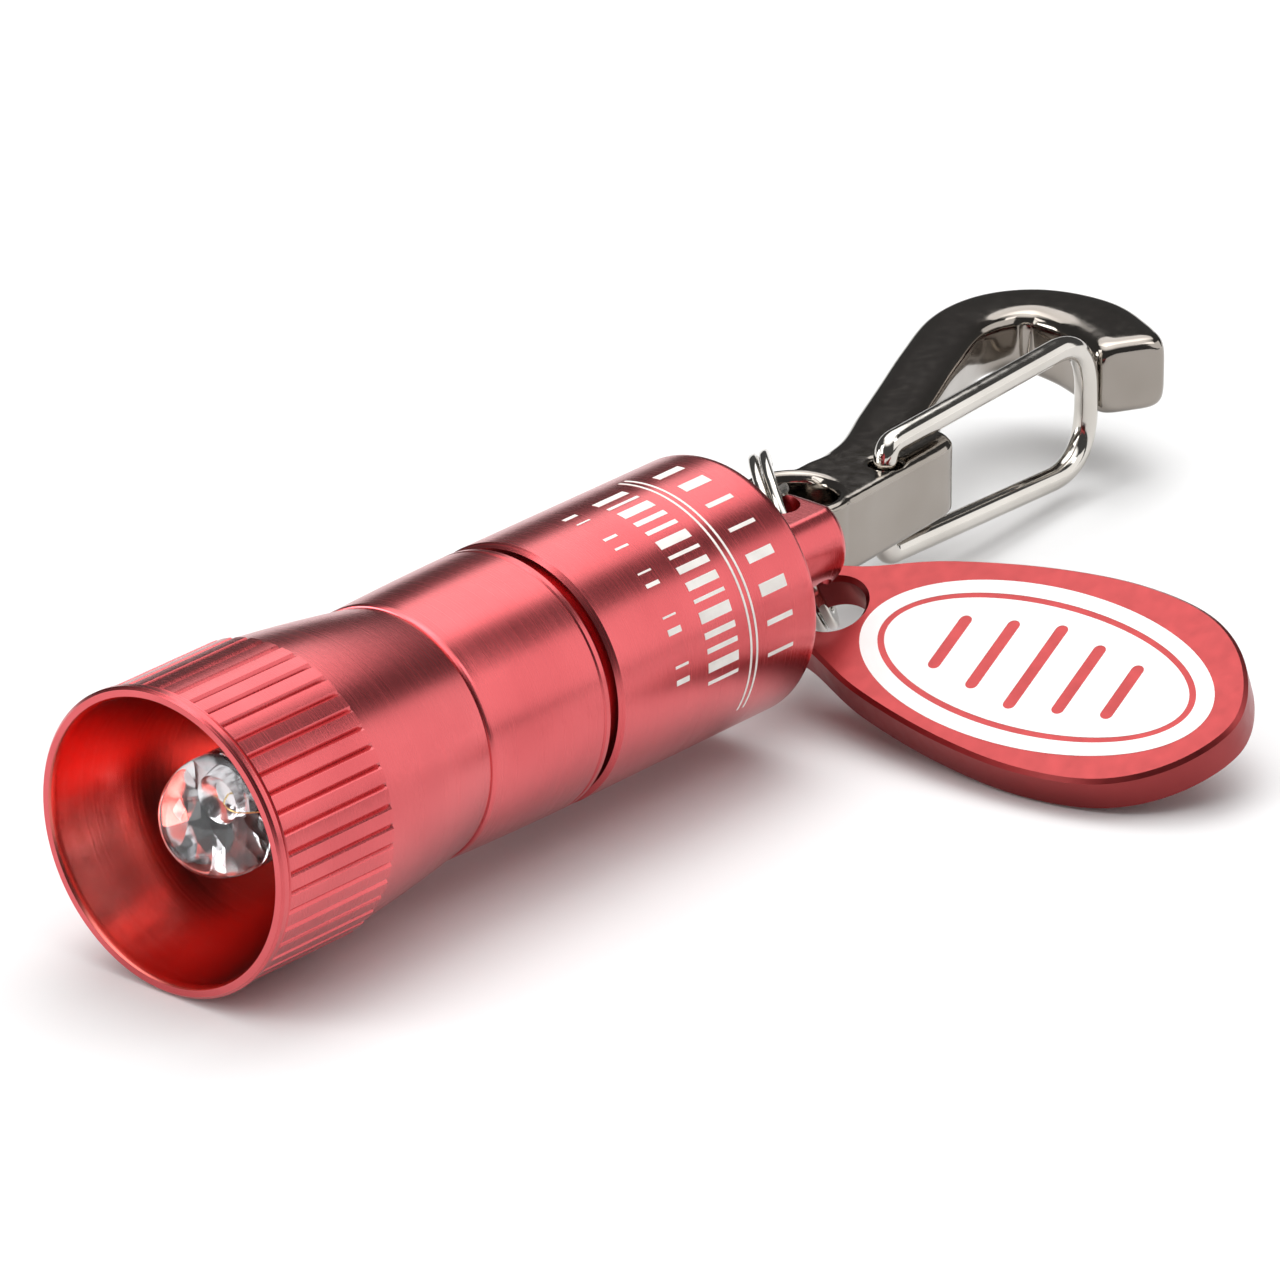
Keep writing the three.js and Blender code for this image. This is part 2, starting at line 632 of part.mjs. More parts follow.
// ---- Assembly ----
add('head_shell', headShell(), RED_ANODISED);
add('led_lens', ledLens(), CLEAR_EPOXY);
add('led_cathode_lead', ledLead(1, CATHODE_HEAD_WIDTH, CATHODE_END), STEEL);
add('led_anode_lead', ledLead(-1, ANODE_HEAD_WIDTH, ANODE_END), STEEL);
add('led_die', ledDie(), YELLOW_DIE);
add('led_holder', moduleRing(LED_BACK + 0.3, MODULE_END - 1.2, 1.75, MODULE_RADIUS - 0.1), WHITE_NYLON);
add('retaining_ring', moduleRing(MODULE_END - 1.0, MODULE_END - 0.1, 2.4, MODULE_RADIUS - 0.05), BRASS);
add('contact_disc', contactDisc(), BRASS);
add('tail_barrel', tailBarrel(), RED_ANODISED);
add('o_ring', oRing(), BLACK_RUBBER);
add('cell_sleeve', moduleRing(CELL_START - 0.2, BARREL_END - REAR_WALL - 0.1, CELL_RADIUS + 0.07,
  BARREL_BORE - 0.07), WHITE_NYLON);
for (let i = 0; i < CELL_COUNT; i += 1) {
  add(`cell_${i + 1}`, cell(i), STEEL);
}
add('contact_spring', contactSpring(), STEEL);
add('split_ring', splitRing(), POLISHED_NICKEL);
add('hook_body', hookBody(), DARK_NICKEL, hook);
add('gate_wire', gateWire(), POLISHED_NICKEL, hook);
add('tag_plate', tagPlate(), RED_ANODISED, tagFrame);

// Stand the assembly on z = 0 with the middle of its bounding box over the origin.
assembly.updateMatrixWorld(true);
const extent = new THREE.Box3().setFromObject(assembly, true);
const middle = extent.getCenter(new THREE.Vector3());
assembly.position.set(-middle.x, -middle.y, -extent.min.z);
assembly.updateMatrixWorld(true);

export default assembly;
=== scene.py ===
"""Looks for the keychain flashlight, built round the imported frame.

Shapes are written in millimetres in the light's own frame: x runs back from the front rim along the axis,
z is up. place() moves them into the row frame, in metres.
"""
import json
import math

import bmesh
import bpy
import numpy as np
from mathutils import Matrix, Vector


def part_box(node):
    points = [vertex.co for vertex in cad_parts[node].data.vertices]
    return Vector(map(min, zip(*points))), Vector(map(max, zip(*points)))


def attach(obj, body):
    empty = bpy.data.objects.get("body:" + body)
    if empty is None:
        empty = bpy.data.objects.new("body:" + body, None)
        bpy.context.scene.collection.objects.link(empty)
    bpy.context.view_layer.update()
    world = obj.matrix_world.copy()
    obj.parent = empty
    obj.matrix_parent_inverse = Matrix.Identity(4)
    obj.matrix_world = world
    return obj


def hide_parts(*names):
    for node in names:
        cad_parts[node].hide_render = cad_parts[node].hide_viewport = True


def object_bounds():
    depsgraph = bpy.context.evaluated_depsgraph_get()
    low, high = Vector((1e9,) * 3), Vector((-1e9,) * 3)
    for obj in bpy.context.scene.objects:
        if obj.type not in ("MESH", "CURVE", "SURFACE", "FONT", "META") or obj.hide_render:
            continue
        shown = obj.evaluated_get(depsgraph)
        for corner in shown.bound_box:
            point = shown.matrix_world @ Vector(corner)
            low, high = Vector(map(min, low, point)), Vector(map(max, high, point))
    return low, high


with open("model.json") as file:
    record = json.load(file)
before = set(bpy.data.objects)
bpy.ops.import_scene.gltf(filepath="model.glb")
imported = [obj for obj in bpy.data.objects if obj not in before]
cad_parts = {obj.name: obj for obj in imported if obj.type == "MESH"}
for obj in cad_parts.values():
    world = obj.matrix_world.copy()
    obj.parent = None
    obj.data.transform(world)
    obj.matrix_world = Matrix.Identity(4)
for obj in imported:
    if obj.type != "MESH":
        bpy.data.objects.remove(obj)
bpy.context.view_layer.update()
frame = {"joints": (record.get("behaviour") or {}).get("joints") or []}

MM = 0.001
TAU = 2 * math.pi
HEAD_LOW, HEAD_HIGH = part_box("head_shell")
ORIGIN = Vector((HEAD_LOW.x, (HEAD_LOW.y + HEAD_HIGH.y) / 2, (HEAD_LOW.z + HEAD_HIGH.z) / 2))
JOINTS = {joint["name"]: joint for joint in frame["joints"]}

# Driving dimensions, in millimetres
# Head: rim, fluted grip, waist and the cup in front
RIM_RADIUS = 6.5
RIM_INNER = 6.05
GRIP_RADIUS = 6.42
GRIP_START = 0.58
GRIP_END = 6.6
FLUTES = 48
FLUTE_DEPTH = 0.16
FLUTE_HALF_WIDTH = 0.11
AROUND_FLUTE = 12
WAIST_END = 13.5
WAIST_RADIUS = 5.42
HEAD_LENGTH = 20.7
HEAD_REAR_RADIUS = 5.66
HEAD_BORE = 5.2
REAR_GROOVE = 0.07
HEAD_THREAD_DEPTH = 0.1
CUP_DEPTH = 7.9
CUP_SKIN = 0.08

# Lamp: the LED and what holds it
MODULE_RADIUS = 4.3
MODULE_END = 14.6
LED_RADIUS = 2.5
LED_DOME_CENTRE = 3.5
LED_BACK = 9.2
LED_FLANGE_RADIUS = 2.9
LED_FLANGE_LENGTH = 1.0
LED_HOLE_RADIUS = LED_RADIUS + 0.15
LED_SEAT_RADIUS = LED_FLANGE_RADIUS + 0.15
LEAD_FRONT = LED_DOME_CENTRE + 0.9
LEAD_HALF_WIDTH = 0.25
CATHODE_END = 13.0
DIE_SIDE = 0.62
DIE_HALF_SIZE = 0.2
DIE_THICKNESS = 0.09
BOND_RADIUS = 0.02
BOWL_FACETS = 36
BOWL_STEPS = 9
DISC_FRONT = 15.05
DISC_BACK = 15.45
DISC_RADIUS = 4.9
DISC_BUTTON_RADIUS = 1.5

# Barrel, neck and lug
BARREL_START = 21.2
BARREL_END = 33.6
BARREL_RADIUS = 5.68
BARREL_BORE = 4.25
BORE_END = BARREL_END - 1.4
NECK_RADIUS = 5.0
NECK_START = 15.9
NECK_THREAD_END = 19.4
NECK_THREAD_DEPTH = 0.16
THREAD_PITCH = 0.75
SEAL_GROOVE = (19.84, 20.56)
SEAL_GROOVE_RADIUS = NECK_RADIUS - 0.32
SEAL_CENTRE = NECK_RADIUS - 0.05
SEAL_RADIUS = 0.22
LUG_RADIUS = 2.1
LUG_HALF_HEIGHT = 1.75
LUG_END = 40.1
LUG_ROUNDING = 0.6
LUG_HOLE_RADIUS = 1.1

# Cells and spring
CELL_RADIUS = 3.95
CELL_START = 16.4
CELL_LENGTH = 3.6
CELL_PITCH = 3.62
CELLS = 4
CAP_RADIUS = 2.9
SPRING_WIRE = 0.16
SPRING_TURNS = 2
SPRING_RADII = (3.0, 1.6)
SPRING_STEPS = 160
EASE = 0.06

# Etched marks: rows along the barrel, in millimetres, and sizes round it, in degrees
MARK_LINES = (29.25, 29.62)
MARK_LINE_WIDTH = 0.12
MARK_LINE_SPAN = (75, 210)
MARK_MIDDLE_ROW = (26.6, 28.5)
MARK_REAR_ROW = (30.4, 32.0)
MARK_FRONT_ROW = (24.6, 25.4)
MARK_WIDTHS = (7, 3, 9, 5, 4, 8, 3, 6)
MARK_COUNT = 15
MARK_START = 84.0
MARK_GAP = 4.0
MARK_HEIGHT = 0.012
MARK_ROOT = 0.03

# Split ring, its angles in degrees
RING_RADIUS = 3.75
RING_TURN = 41
RING_OFFSET = 0.3
RING_WIRE = (0.35, 0.22)
RING_EASING = 0.6
RING_COIL_STEP = 0.5
RING_END_GAP = 26
RING_END_PLACE = 60
RING_STEPS = 300

# Hook, in its own frame: x along it from the eye, y away from the gate, z up from its top face
HOOK_EYE = (43.4, 4.0)
HOOK_TURN = math.radians(5)
HOOK_THICKNESS = 3.5
EYE_RADIUS = 2.5
EYE_HOLE_RADIUS = 1.75
BLOCK_LENGTH = 9.3
BLOCK_NEAR = 2.75
BLOCK_CORNER = 1.7
BLOCK_CHAMFER = 0.28
EYE_SIDE = EYE_RADIUS - BLOCK_NEAR - 0.03
PIVOT_HOLE = (0.75, 0.9)
NOSE_ROUNDING = 0.75
NOSE_STEPS = 6
SECTION_EASING = 0.42
CAST_VOXEL = 0.08
# The spine and nose, a row per station: length, side, width in plan, thickness below the top.
SPINE = [[2.6, -0.3, 3.2, 3.4], [6, 0.2, 2.8, 3.0], [9.4, 1.35, 2.9, 2.7], [12.6, 2.5, 2.9, 2.6],
         [16.3, 3.85, 2.9, 2.6], [20.0, 4.95, 3.0, 2.7], [22.6, 4.7, 3.3, 2.9], [24.2, 3.3, 3.6, 3.2],
         [24.4, 1.0, 4.0, 3.4], [23.5, -1.1, 3.8, 3.5], [22.35, -2.85, 3.5, 3.5]]

# Gate, in the hook's frame
GATE_WIRE_RADIUS = 0.53
GATE_PIVOT = (4.7, -1.7)
GATE_END = 20.4
GATE_SPREAD = 1.2
GATE_BEND = 2.8
GATE_TIGHT_BEND = 0.7
GATE_TAIL = 0.6
GATE_CLEARANCE = 0.25

# Tag, in its own frame: x along it from the hole, y across, z out of its face
TAG_THICKNESS = 1.8
TAG_HOLE_RADIUS = 1.45
TAG_BEVEL = 0.17
TAG_SWING = math.radians(-3)
TAG_UPPER = [[-1.8, 1.75], [0.4, 2.6], [3.5, 4.0], [8, 5.15], [12.3, 5.55], [16.0, 4.9], [18.6, 2.9]]
TAG_LOOP = [[-2.5, 0], *TAG_UPPER, [19.8, 0], *[[x, -y] for x, y in reversed(TAG_UPPER)]]
OVAL_MIDDLE = (10.2, -0.2)
OVAL_SIZE = (8.3, 4.35)
LINE_OUTER_SIZE = (7.5, 3.6)
LINE_INNER_SIZE = (7.2, 3.3)
BAR_WIDTH = 0.28
BAR_SPACING = 2.1
BAR_HALF_LENGTH = 2.2
BAR_SHORTENING = 0.45

# Studio, in metres for the floor and millimetres elsewhere
MIDDLE = 25
FLOOR_HALF_SIZE = 3.0
FLOOR_GAP = 0.00002
SKY_STRENGTH = 2.6
SKY_STOPS = ((0.0, 0.03), (0.76, 0.03), (0.9, 0.75), (1.0, 1.0))
# Each softbox: name, direction from the light's middle, distance, size, radiance.
SOFTBOXES = (
    ("overhead_bank", (0.42, 0.34, 0.84), 360, (350, 300), 1.9),
    ("front_strip", (0.66, -0.67, 0.34), 360, (420, 230), 1.3),
    ("left_kicker", (-0.93, 0.22, 0.40), 320, (170, 130), 3.0),
    ("cup_light", (-0.72, 0.68, 0.17), 320, (130, 110), 7.0),
    ("rim_light", (-0.62, 0.38, 0.68), 360, (110, 170), 3.4),
    ("edge_light", (0.42, -0.53, 0.74), 360, (110, 100), 3.0),
)
CAMERA_LENS = 284.2
CAMERA_SENSOR = 36
CAMERA_SEAT = (-260.77, -248.17, 168.39)
CAMERA_TILT = 66.058
CAMERA_TURN = -49.415

WELD = 1e-7


# ---- Mesh helpers ----
def place(points):
    """Millimetre points in the light's frame, as row-frame metres."""
    return [tuple(ORIGIN + Vector(p) * MM) for p in points]


def new_object(name, points, faces):
    """An object whose coincident points are welded and whose faces all look outwards."""
    mesh = bpy.data.meshes.new(name)
    mesh.from_pydata(place(points), [], faces)
    work = bmesh.new()
    work.from_mesh(mesh)
    bmesh.ops.remove_doubles(work, verts=work.verts, dist=WELD)
    bmesh.ops.recalc_face_normals(work, faces=work.faces)
    work.to_mesh(mesh)
    work.free()
    made = bpy.data.objects.new(name, mesh)
    bpy.context.scene.collection.objects.link(made)
    return made


def soften(mesh, sharp_degrees):
    """Smooth shading that keeps the edges sharper than an angle."""
    mesh.shade_smooth()
    mesh.set_sharp_from_angle(angle=math.radians(sharp_degrees))


def add_mesh(name, points, faces, material, body, replaced=(), slot=None, smooth=True):
    """A visible piece that rides a body and stands for the CAD nodes it replaces."""
    piece = new_object(name, points, faces)
    if smooth:
        soften(piece.data, 35)
    piece.data.materials.append(material)
    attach(piece, body)
    if replaced:
        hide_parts(*replaced)
    return piece


def skin(sections, capped=True):
    """Points and faces of a skin over a row of equal closed loops."""
    count = len(sections[0])
    points = [p for section in sections for p in section]
    faces = []
    for row in range(len(sections) - 1):
        for i in range(count):
            here, following = row * count + i, row * count + (i + 1) % count
            faces.append((here, following, following + count, here + count))
    if capped:
        faces.append(tuple(range(count))[::-1])
        faces.append(tuple(range((len(sections) - 1) * count, len(sections) * count)))
    return points, faces


def circle(x, radius, angle):
    """The point at a place along the axis, a radius and an angle round it."""
    return (x, radius * math.cos(angle), radius * math.sin(angle))


def turned(profile, around, shape=None, closed=False):
    """A body of revolution about x; shape(x, angle, radius) may change each radius."""
    rows = profile + [profile[0]] if closed else profile
    points = []
    for x, radius in rows:
        for i in range(around):
            angle = TAU * i / around
            points.append(circle(x, shape(x, angle, radius) if shape else radius, angle))
    faces = []
    for row in range(len(rows) - 1):
        for i in range(around):
            here, following = row * around + i, row * around + (i + 1) % around
            faces.append((here, here + around, following + around, following))
    return points, faces


def rounded(profile, radius, steps=3):
    """A profile with each of its corners eased by a small quadratic curve."""
    result = [profile[0]]
    for before, corner, after in zip(profile, profile[1:], profile[2:]):
        b, c, a = Vector(before), Vector(corner), Vector(after)
        size = min(radius, (b - c).length * 0.45, (a - c).length * 0.45)
        start, end = c + (b - c).normalized() * size, c + (a - c).normalized() * size
        result += bend(start, c, end, steps)
    result.append(profile[-1])
    return result


def bend(start, control, end, steps):
    """Points of a quadratic curve, both ends included."""
    a, b, c = Vector(start), Vector(control), Vector(end)
    return [tuple(a * (1 - t) ** 2 + b * 2 * t * (1 - t) + c * t * t) for t in np.linspace(0, 1, steps + 1)]


def line(start, end, count):
    """Points of a straight line, without its first."""
    return [tuple(p) for p in np.linspace(start, end, count)][1:]


def refined(profile, step):
    """A profile with points added so that none is further than step from the next."""
    result = [profile[0]]
    for start, end in zip(profile, profile[1:]):
        a, b = Vector(start), Vector(end)
        count = max(1, math.ceil((b - a).length / step))
        result += [tuple(a.lerp(b, (i + 1) / count)) for i in range(count)]
    return result


def spline(points, steps, closed=False):
    """Catmull-Rom through rows of numbers, as an array."""
    rows = np.array(points, float)
    count = len(rows)
    spans = count if closed else count - 1
    result = []
    for i in range(spans):
        if closed:
            a, b, c, d = (rows[(i + k) % count] for k in (-1, 0, 1, 2))
        else:
            a, b, c, d = (rows[min(max(i + k, 0), count - 1)] for k in (-1, 0, 1, 2))
        for t in np.arange(steps) / steps:
            result.append(0.5 * (2 * b + (c - a) * t + (2 * a - 5 * b + 4 * c - d) * t ** 2
                                 + (3 * b - a - 3 * c + d) * t ** 3))
    if not closed:
        result.append(rows[-1])
    return np.array(result)


def offset_loop(loop, inset):
    """A closed loop's points moved sideways by an inset, along each corner's mean normal."""
    moved = []
    for i in range(len(loop)):
        before, here, after = Vector(loop[i - 1]), Vector(loop[i]), Vector(loop[(i + 1) % len(loop)])
        ahead = ((here - before).normalized() + (after - here).normalized()).normalized()
        moved.append((here.x + ahead.y * inset, here.y - ahead.x * inset))
    return moved


def superellipse(angle, easing):
    """A unit superellipse's point; a smaller easing gives a squarer section."""
    across, up = math.cos(angle), math.sin(angle)
    return math.copysign(abs(across) ** easing, across), math.copysign(abs(up) ** easing, up)


def tube(route, radius, around, up=(0, 0, 1)):
    """A round wire along a route of points."""
    rows = [Vector(p) for p in route]
    sections = []
    for i, centre in enumerate(rows):
        ahead = (rows[min(i + 1, len(rows) - 1)] - rows[max(i - 1, 0)]).normalized()
        side = ahead.cross(Vector(up)).normalized()
        other = side.cross(ahead)
        section = []
        for k in range(around):
            angle = TAU * k / around
            section.append(tuple(centre + (side * math.cos(angle) + other * math.sin(angle)) * radius))
        sections.append(section)
    return skin(sections)


def rod(start, end, radius, around=48, flare=0.0, flare_length=0.15):
    """A round rod between two points, its ends flared by a chamfer if asked."""
    a, b = Vector(start), Vector(end)
    axis = (b - a).normalized()
    side = axis.orthogonal().normalized()
    other = axis.cross(side)
    stations = ((a, radius + flare), (a + axis * flare_length, radius), (b - axis * flare_length, radius),
                (b, radius + flare))
    sections = []
    for centre, r in stations:
        angles = [TAU * i / around for i in range(around)]
        sections.append([tuple(centre + (side * math.cos(t) + other * math.sin(t)) * r) for t in angles])
    return skin(sections)


def combine(piece, shapes, operation):
    """Joins shapes to a piece or cuts them from it, exactly, and applies the result."""
    tools = [new_object("tool", *shape) for shape in shapes]
    for used in tools:
        modifier = piece.modifiers.new("tool", "BOOLEAN")
        modifier.operation = operation
        modifier.solver = "EXACT"
        modifier.object = used
    apply_modifiers(piece)
    for used in tools:
        bpy.data.objects.remove(used)


def apply_modifiers(piece):
    """Gives a piece the mesh that its modifiers make."""
    bpy.context.view_layer.update()
    evaluated = piece.evaluated_get(bpy.context.evaluated_depsgraph_get())
    mesh = bpy.data.meshes.new_from_object(evaluated)
    piece.modifiers.clear()
    piece.data = mesh


# ---- Materials ----
def new_material(name):
    """A new material, with its node tree and its main shader."""
    material = bpy.data.materials.new(name)
    material.use_nodes = True
    return material, material.node_tree, material.node_tree.nodes["Principled BSDF"]


def node(tree, kind, **inputs):
    """A new node with some of its inputs set."""
    made = tree.nodes.new(kind)
    for key, value in inputs.items():
        made.inputs[key].default_value = value
    return made


def object_point(tree, scale):
    """Object coordinates times a scale, which may differ for each axis."""
    source = tree.nodes.new("ShaderNodeTexCoord")
    mapping = tree.nodes.new("ShaderNodeMapping")
    mapping.inputs["Scale"].default_value = scale if isinstance(scale, tuple) else (scale, scale, scale)
    tree.links.new(source.outputs["Object"], mapping.inputs["Vector"])
    return mapping.outputs["Vector"]


def noise(tree, scale, detail=3.0):
    """A noise value from 0 to 1, at a scale over the object."""
    made = node(tree, "ShaderNodeTexNoise", Scale=1.0, Detail=detail)
    tree.links.new(object_point(tree, scale), made.inputs["Vector"])
    return made.outputs["Fac"]


def ramp(tree, value, low, high, low_at=0.0, high_at=1.0):
    """A value turned into a colour between two."""
    made = tree.nodes.new("ShaderNodeValToRGB")
    made.color_ramp.elements[0].position = low_at
    made.color_ramp.elements[1].position = high_at
    made.color_ramp.elements[0].color = low
    made.color_ramp.elements[1].color = high
    tree.links.new(value, made.inputs["Fac"])
    return made.outputs["Color"]


def colour(tree, shader, value, dark, light):
    """A base colour that varies between two with a noise value."""
    tree.links.new(ramp(tree, value, (*dark, 1), (*light, 1), 0.3, 0.7), shader.inputs["Base Color"])


def bump(tree, shader, height, strength, distance):
    """Small relief from a height value."""
    made = node(tree, "ShaderNodeBump", Strength=strength, Distance=distance)
    tree.links.new(height, made.inputs["Height"])
    tree.links.new(made.outputs["Normal"], shader.inputs["Normal"])


def grey(value):
    """An opaque grey."""
    return (value, value, value, 1)


def anodised(name, dark, light, grain_scale, roughness, grain, brushed=0.0, coat=0.4):
    """Dyed metal under a clear oxide skin; tool lines run the way grain_scale leaves unstretched."""
    material, tree, shader = new_material(name)
    shader.inputs["Metallic"].default_value = 1.0
    shader.inputs["Coat Weight"].default_value = coat
    shader.inputs["Coat Roughness"].default_value = 0.25
    shader.inputs["Coat IOR"].default_value = 1.6
    if brushed:
        tangent = tree.nodes.new("ShaderNodeTangent")
        tangent.direction_type = "RADIAL"
        tangent.axis = "X"
        tree.links.new(tangent.outputs["Tangent"], shader.inputs["Tangent"])
        shader.inputs["Anisotropic"].default_value = brushed
    lines = noise(tree, grain_scale, 4.0)
    colour(tree, shader, noise(tree, 260), dark, light)
    gloss = ramp(tree, lines, grey(roughness[0]), grey(roughness[1]), 0.3, 0.7)
    tree.links.new(gloss, shader.inputs["Roughness"])
    bump(tree, shader, lines, grain, 0.00002)
    return material


def polished(name, dark, light, roughness, pits, ripples=300):
    """Polished plating with faint casting ripple and uneven gloss."""
    material, tree, shader = new_material(name)
    shader.inputs["Metallic"].default_value = 1.0
    ripple = noise(tree, ripples, 2.0)
    colour(tree, shader, ripple, dark, light)
    gloss = ramp(tree, noise(tree, 2500), grey(roughness[0]), grey(roughness[1]), 0.3, 0.8)
    tree.links.new(gloss, shader.inputs["Roughness"])
    bump(tree, shader, ripple, pits, 0.0001)
    return material


def plain(name, dark, light, roughness, scale=900):
    """Paint, plastic or rubber with fine specks."""
    material, tree, shader = new_material(name)
    specks = noise(tree, scale, 5.0)
    colour(tree, shader, specks, dark, light)
    gloss = ramp(tree, specks, grey(roughness * 0.85), grey(roughness * 1.15))
    tree.links.new(gloss, shader.inputs["Roughness"])
    bump(tree, shader, specks, 0.15, 0.00002)
    return material


def clear_epoxy():
    """Clear cast resin with a slight haze."""
    material, tree, shader = new_material("clear_epoxy")
    shader.inputs["Transmission Weight"].default_value = 1.0
    shader.inputs["IOR"].default_value = 1.5
    haze = noise(tree, 700, 2.0)
    colour(tree, shader, haze, (0.93, 0.95, 0.97), (1, 1, 1))
    tree.links.new(ramp(tree, haze, grey(0.015), grey(0.05), 0.3, 0.7), shader.inputs["Roughness"])
    return material


RED_TURNED = anodised("red_anodised_turned", (0.57, 0.076, 0.086), (0.65, 0.100, 0.110), (22000, 30, 30),
                      (0.22, 0.29), 0.12, brushed=0.3)
# The cup's turned finish; its paler, lighter red than the outside is painted light.
RED_CUP_PAINTED_LIGHT = anodised("red_anodised_cup_painted_light", (0.66, 0.130, 0.105), (0.76, 0.160, 0.135), (14000, 40, 40),
                   (0.20, 0.27), 0.08, brushed=0.7)
RED_TAG = anodised("red_anodised_tag", (0.275, 0.030, 0.031), (0.31, 0.037, 0.038), 1800,
                   (0.34, 0.44), 0.25, coat=0.2)
ETCHED = plain("etched_mark", (0.78, 0.74, 0.70), (0.92, 0.89, 0.85), 0.55)
ENAMEL = plain("white_enamel", (0.93, 0.92, 0.90), (0.97, 0.96, 0.95), 0.35)
NICKEL = polished("bright_nickel", (0.54, 0.51, 0.47), (0.62, 0.59, 0.55), (0.06, 0.16), 0.05)
# The hook's nickel, its base colour darkened as a painted reflection of dark surroundings.
NICKEL_PAINTED_DARK = polished("dark_nickel", (0.29, 0.26, 0.23), (0.33, 0.30, 0.27), (0.07, 0.15), 0.03)
EPOXY = clear_epoxy()
TINNED = polished("tinned_lead", (0.74, 0.74, 0.75), (0.86, 0.86, 0.87), (0.12, 0.3), 0.3)
LED_SILVER = polished("led_silver", (0.86, 0.87, 0.88), (0.95, 0.95, 0.96), (0.06, 0.2), 0.5, 1500)
CELL_STEEL = polished("cell_steel", (0.66, 0.66, 0.67), (0.76, 0.76, 0.77), (0.18, 0.34), 0.1)
SPRING_STEEL = polished("spring_steel", (0.62, 0.62, 0.62), (0.74, 0.74, 0.74), (0.15, 0.3), 0.1)
BRASS = polished("brass", (0.66, 0.46, 0.16), (0.78, 0.58, 0.24), (0.2, 0.35), 0.2)
RUBBER = plain("black_rubber", (0.012, 0.012, 0.012), (0.03, 0.03, 0.03), 0.65)
NYLON = plain("white_nylon", (0.74, 0.73, 0.70), (0.84, 0.83, 0.80), 0.5)
PHOSPHOR = plain("phosphor", (0.80, 0.66, 0.10), (0.92, 0.80, 0.20), 0.6)


# ---- Head ----
def flute(x, angle, radius):
    """Narrow grooves along the grip."""
    if radius < GRIP_RADIUS - 0.01 or not GRIP_START < x < GRIP_END:
        return radius
    phase = (angle / TAU * FLUTES) % 1.0
    across = min(1.0, 1.6 * max(0.0, 1 - abs(phase - 0.5) / FLUTE_HALF_WIDTH))
    return radius - FLUTE_DEPTH * across


def thread_height(x, angle, pitch=THREAD_PITCH):
    """A rounded ridge that climbs one pitch a turn, from 0 in the root to 1 at the crest."""
    phase = (x / pitch - angle / TAU) % 1.0
    return 0.5 - 0.5 * math.cos(TAU * phase)


def head_shape(x, angle, radius):
    """The flutes outside and the thread in the bore."""
    if MODULE_END + 0.5 < x < HEAD_LENGTH - 1.5 and abs(radius - HEAD_BORE) < 1e-6:
        return radius - HEAD_THREAD_DEPTH * thread_height(x, angle)
    return flute(x, angle, radius)


def head_outside():
    """The head's outline from the rim back to its rear edge, with the fine groove near the seam."""
    lip = [(0, RIM_RADIUS - 0.12), (0.12, RIM_RADIUS), (0.36, RIM_RADIUS), (0.42, GRIP_RADIUS - 0.08),
           (0.5, GRIP_RADIUS - 0.08), (GRIP_START - 0.01, GRIP_RADIUS)]
    grip = [(x, GRIP_RADIUS) for x in np.linspace(GRIP_START + 0.01, GRIP_END - 0.02, 14)]
    taper = bend((GRIP_END + 0.04, GRIP_RADIUS - 0.13), ((GRIP_END + WAIST_END) / 2, GRIP_RADIUS - 0.43),
                 (WAIST_END, WAIST_RADIUS), 20)
    shoulder = [(WAIST_END + 0.02, WAIST_RADIUS + 0.05), (WAIST_END + 0.12, WAIST_RADIUS + 0.1)]
    rear = bend((WAIST_END + 0.3, WAIST_RADIUS + 0.1), (WAIST_END + 3, HEAD_REAR_RADIUS - 0.03),
                (HEAD_LENGTH - 0.9, HEAD_REAR_RADIUS), 12)
    groove = [(0.62, 0), (0.56, REAR_GROOVE), (0.48, REAR_GROOVE), (0.42, 0), (0.2, 0), (0, 0.2)]
    end = [(HEAD_LENGTH - before, HEAD_REAR_RADIUS - depth) for before, depth in groove]
    return lip + grip + taper + shoulder + rear + end


def head_shell():
    """The head in one turning: outside, threaded bore, seats for the lamp and the cup."""
    bore = [(HEAD_LENGTH, HEAD_BORE + 0.12), (HEAD_LENGTH - 0.12, HEAD_BORE)]
    bore += refined([(HEAD_LENGTH - 0.3, HEAD_BORE), (MODULE_END, HEAD_BORE)], 0.1)
    seat, flange = LED_BACK + 0.2, LED_BACK - LED_FLANGE_LENGTH - 0.1
    module = [(MODULE_END, MODULE_RADIUS), (seat, MODULE_RADIUS), (seat, LED_SEAT_RADIUS),
              (flange, LED_SEAT_RADIUS), (flange, LED_HOLE_RADIUS), (CUP_DEPTH, LED_HOLE_RADIUS)]
    cup = bend((CUP_DEPTH, LED_HOLE_RADIUS), (CUP_DEPTH * 0.72, 5.1), (0.1, RIM_INNER - 0.02), 36)
    profile = head_outside() + bore + module + cup + [(0, RIM_INNER + 0.05)]
    points, faces = turned(profile, FLUTES * AROUND_FLUTE, head_shape, closed=True)
    piece = add_mesh("head", points, faces, RED_TURNED, "head", ["head_shell"], "red_anodised")
    piece.data.materials.append(RED_CUP_PAINTED_LIGHT)
    # Faces inside the cup's curve take the cup's finish: real turned lines, and a paler, lighter red that
    # is painted light.
    for face in piece.data.polygons:
        corner = (piece.data.vertices[face.vertices[0]].co - ORIGIN) / MM
        radius = math.hypot(corner.y, corner.z)
        if CUP_SKIN < corner.x < CUP_DEPTH + 0.3 and radius < RIM_INNER + 0.01 - 0.02 * corner.x:
            face.material_index = 1


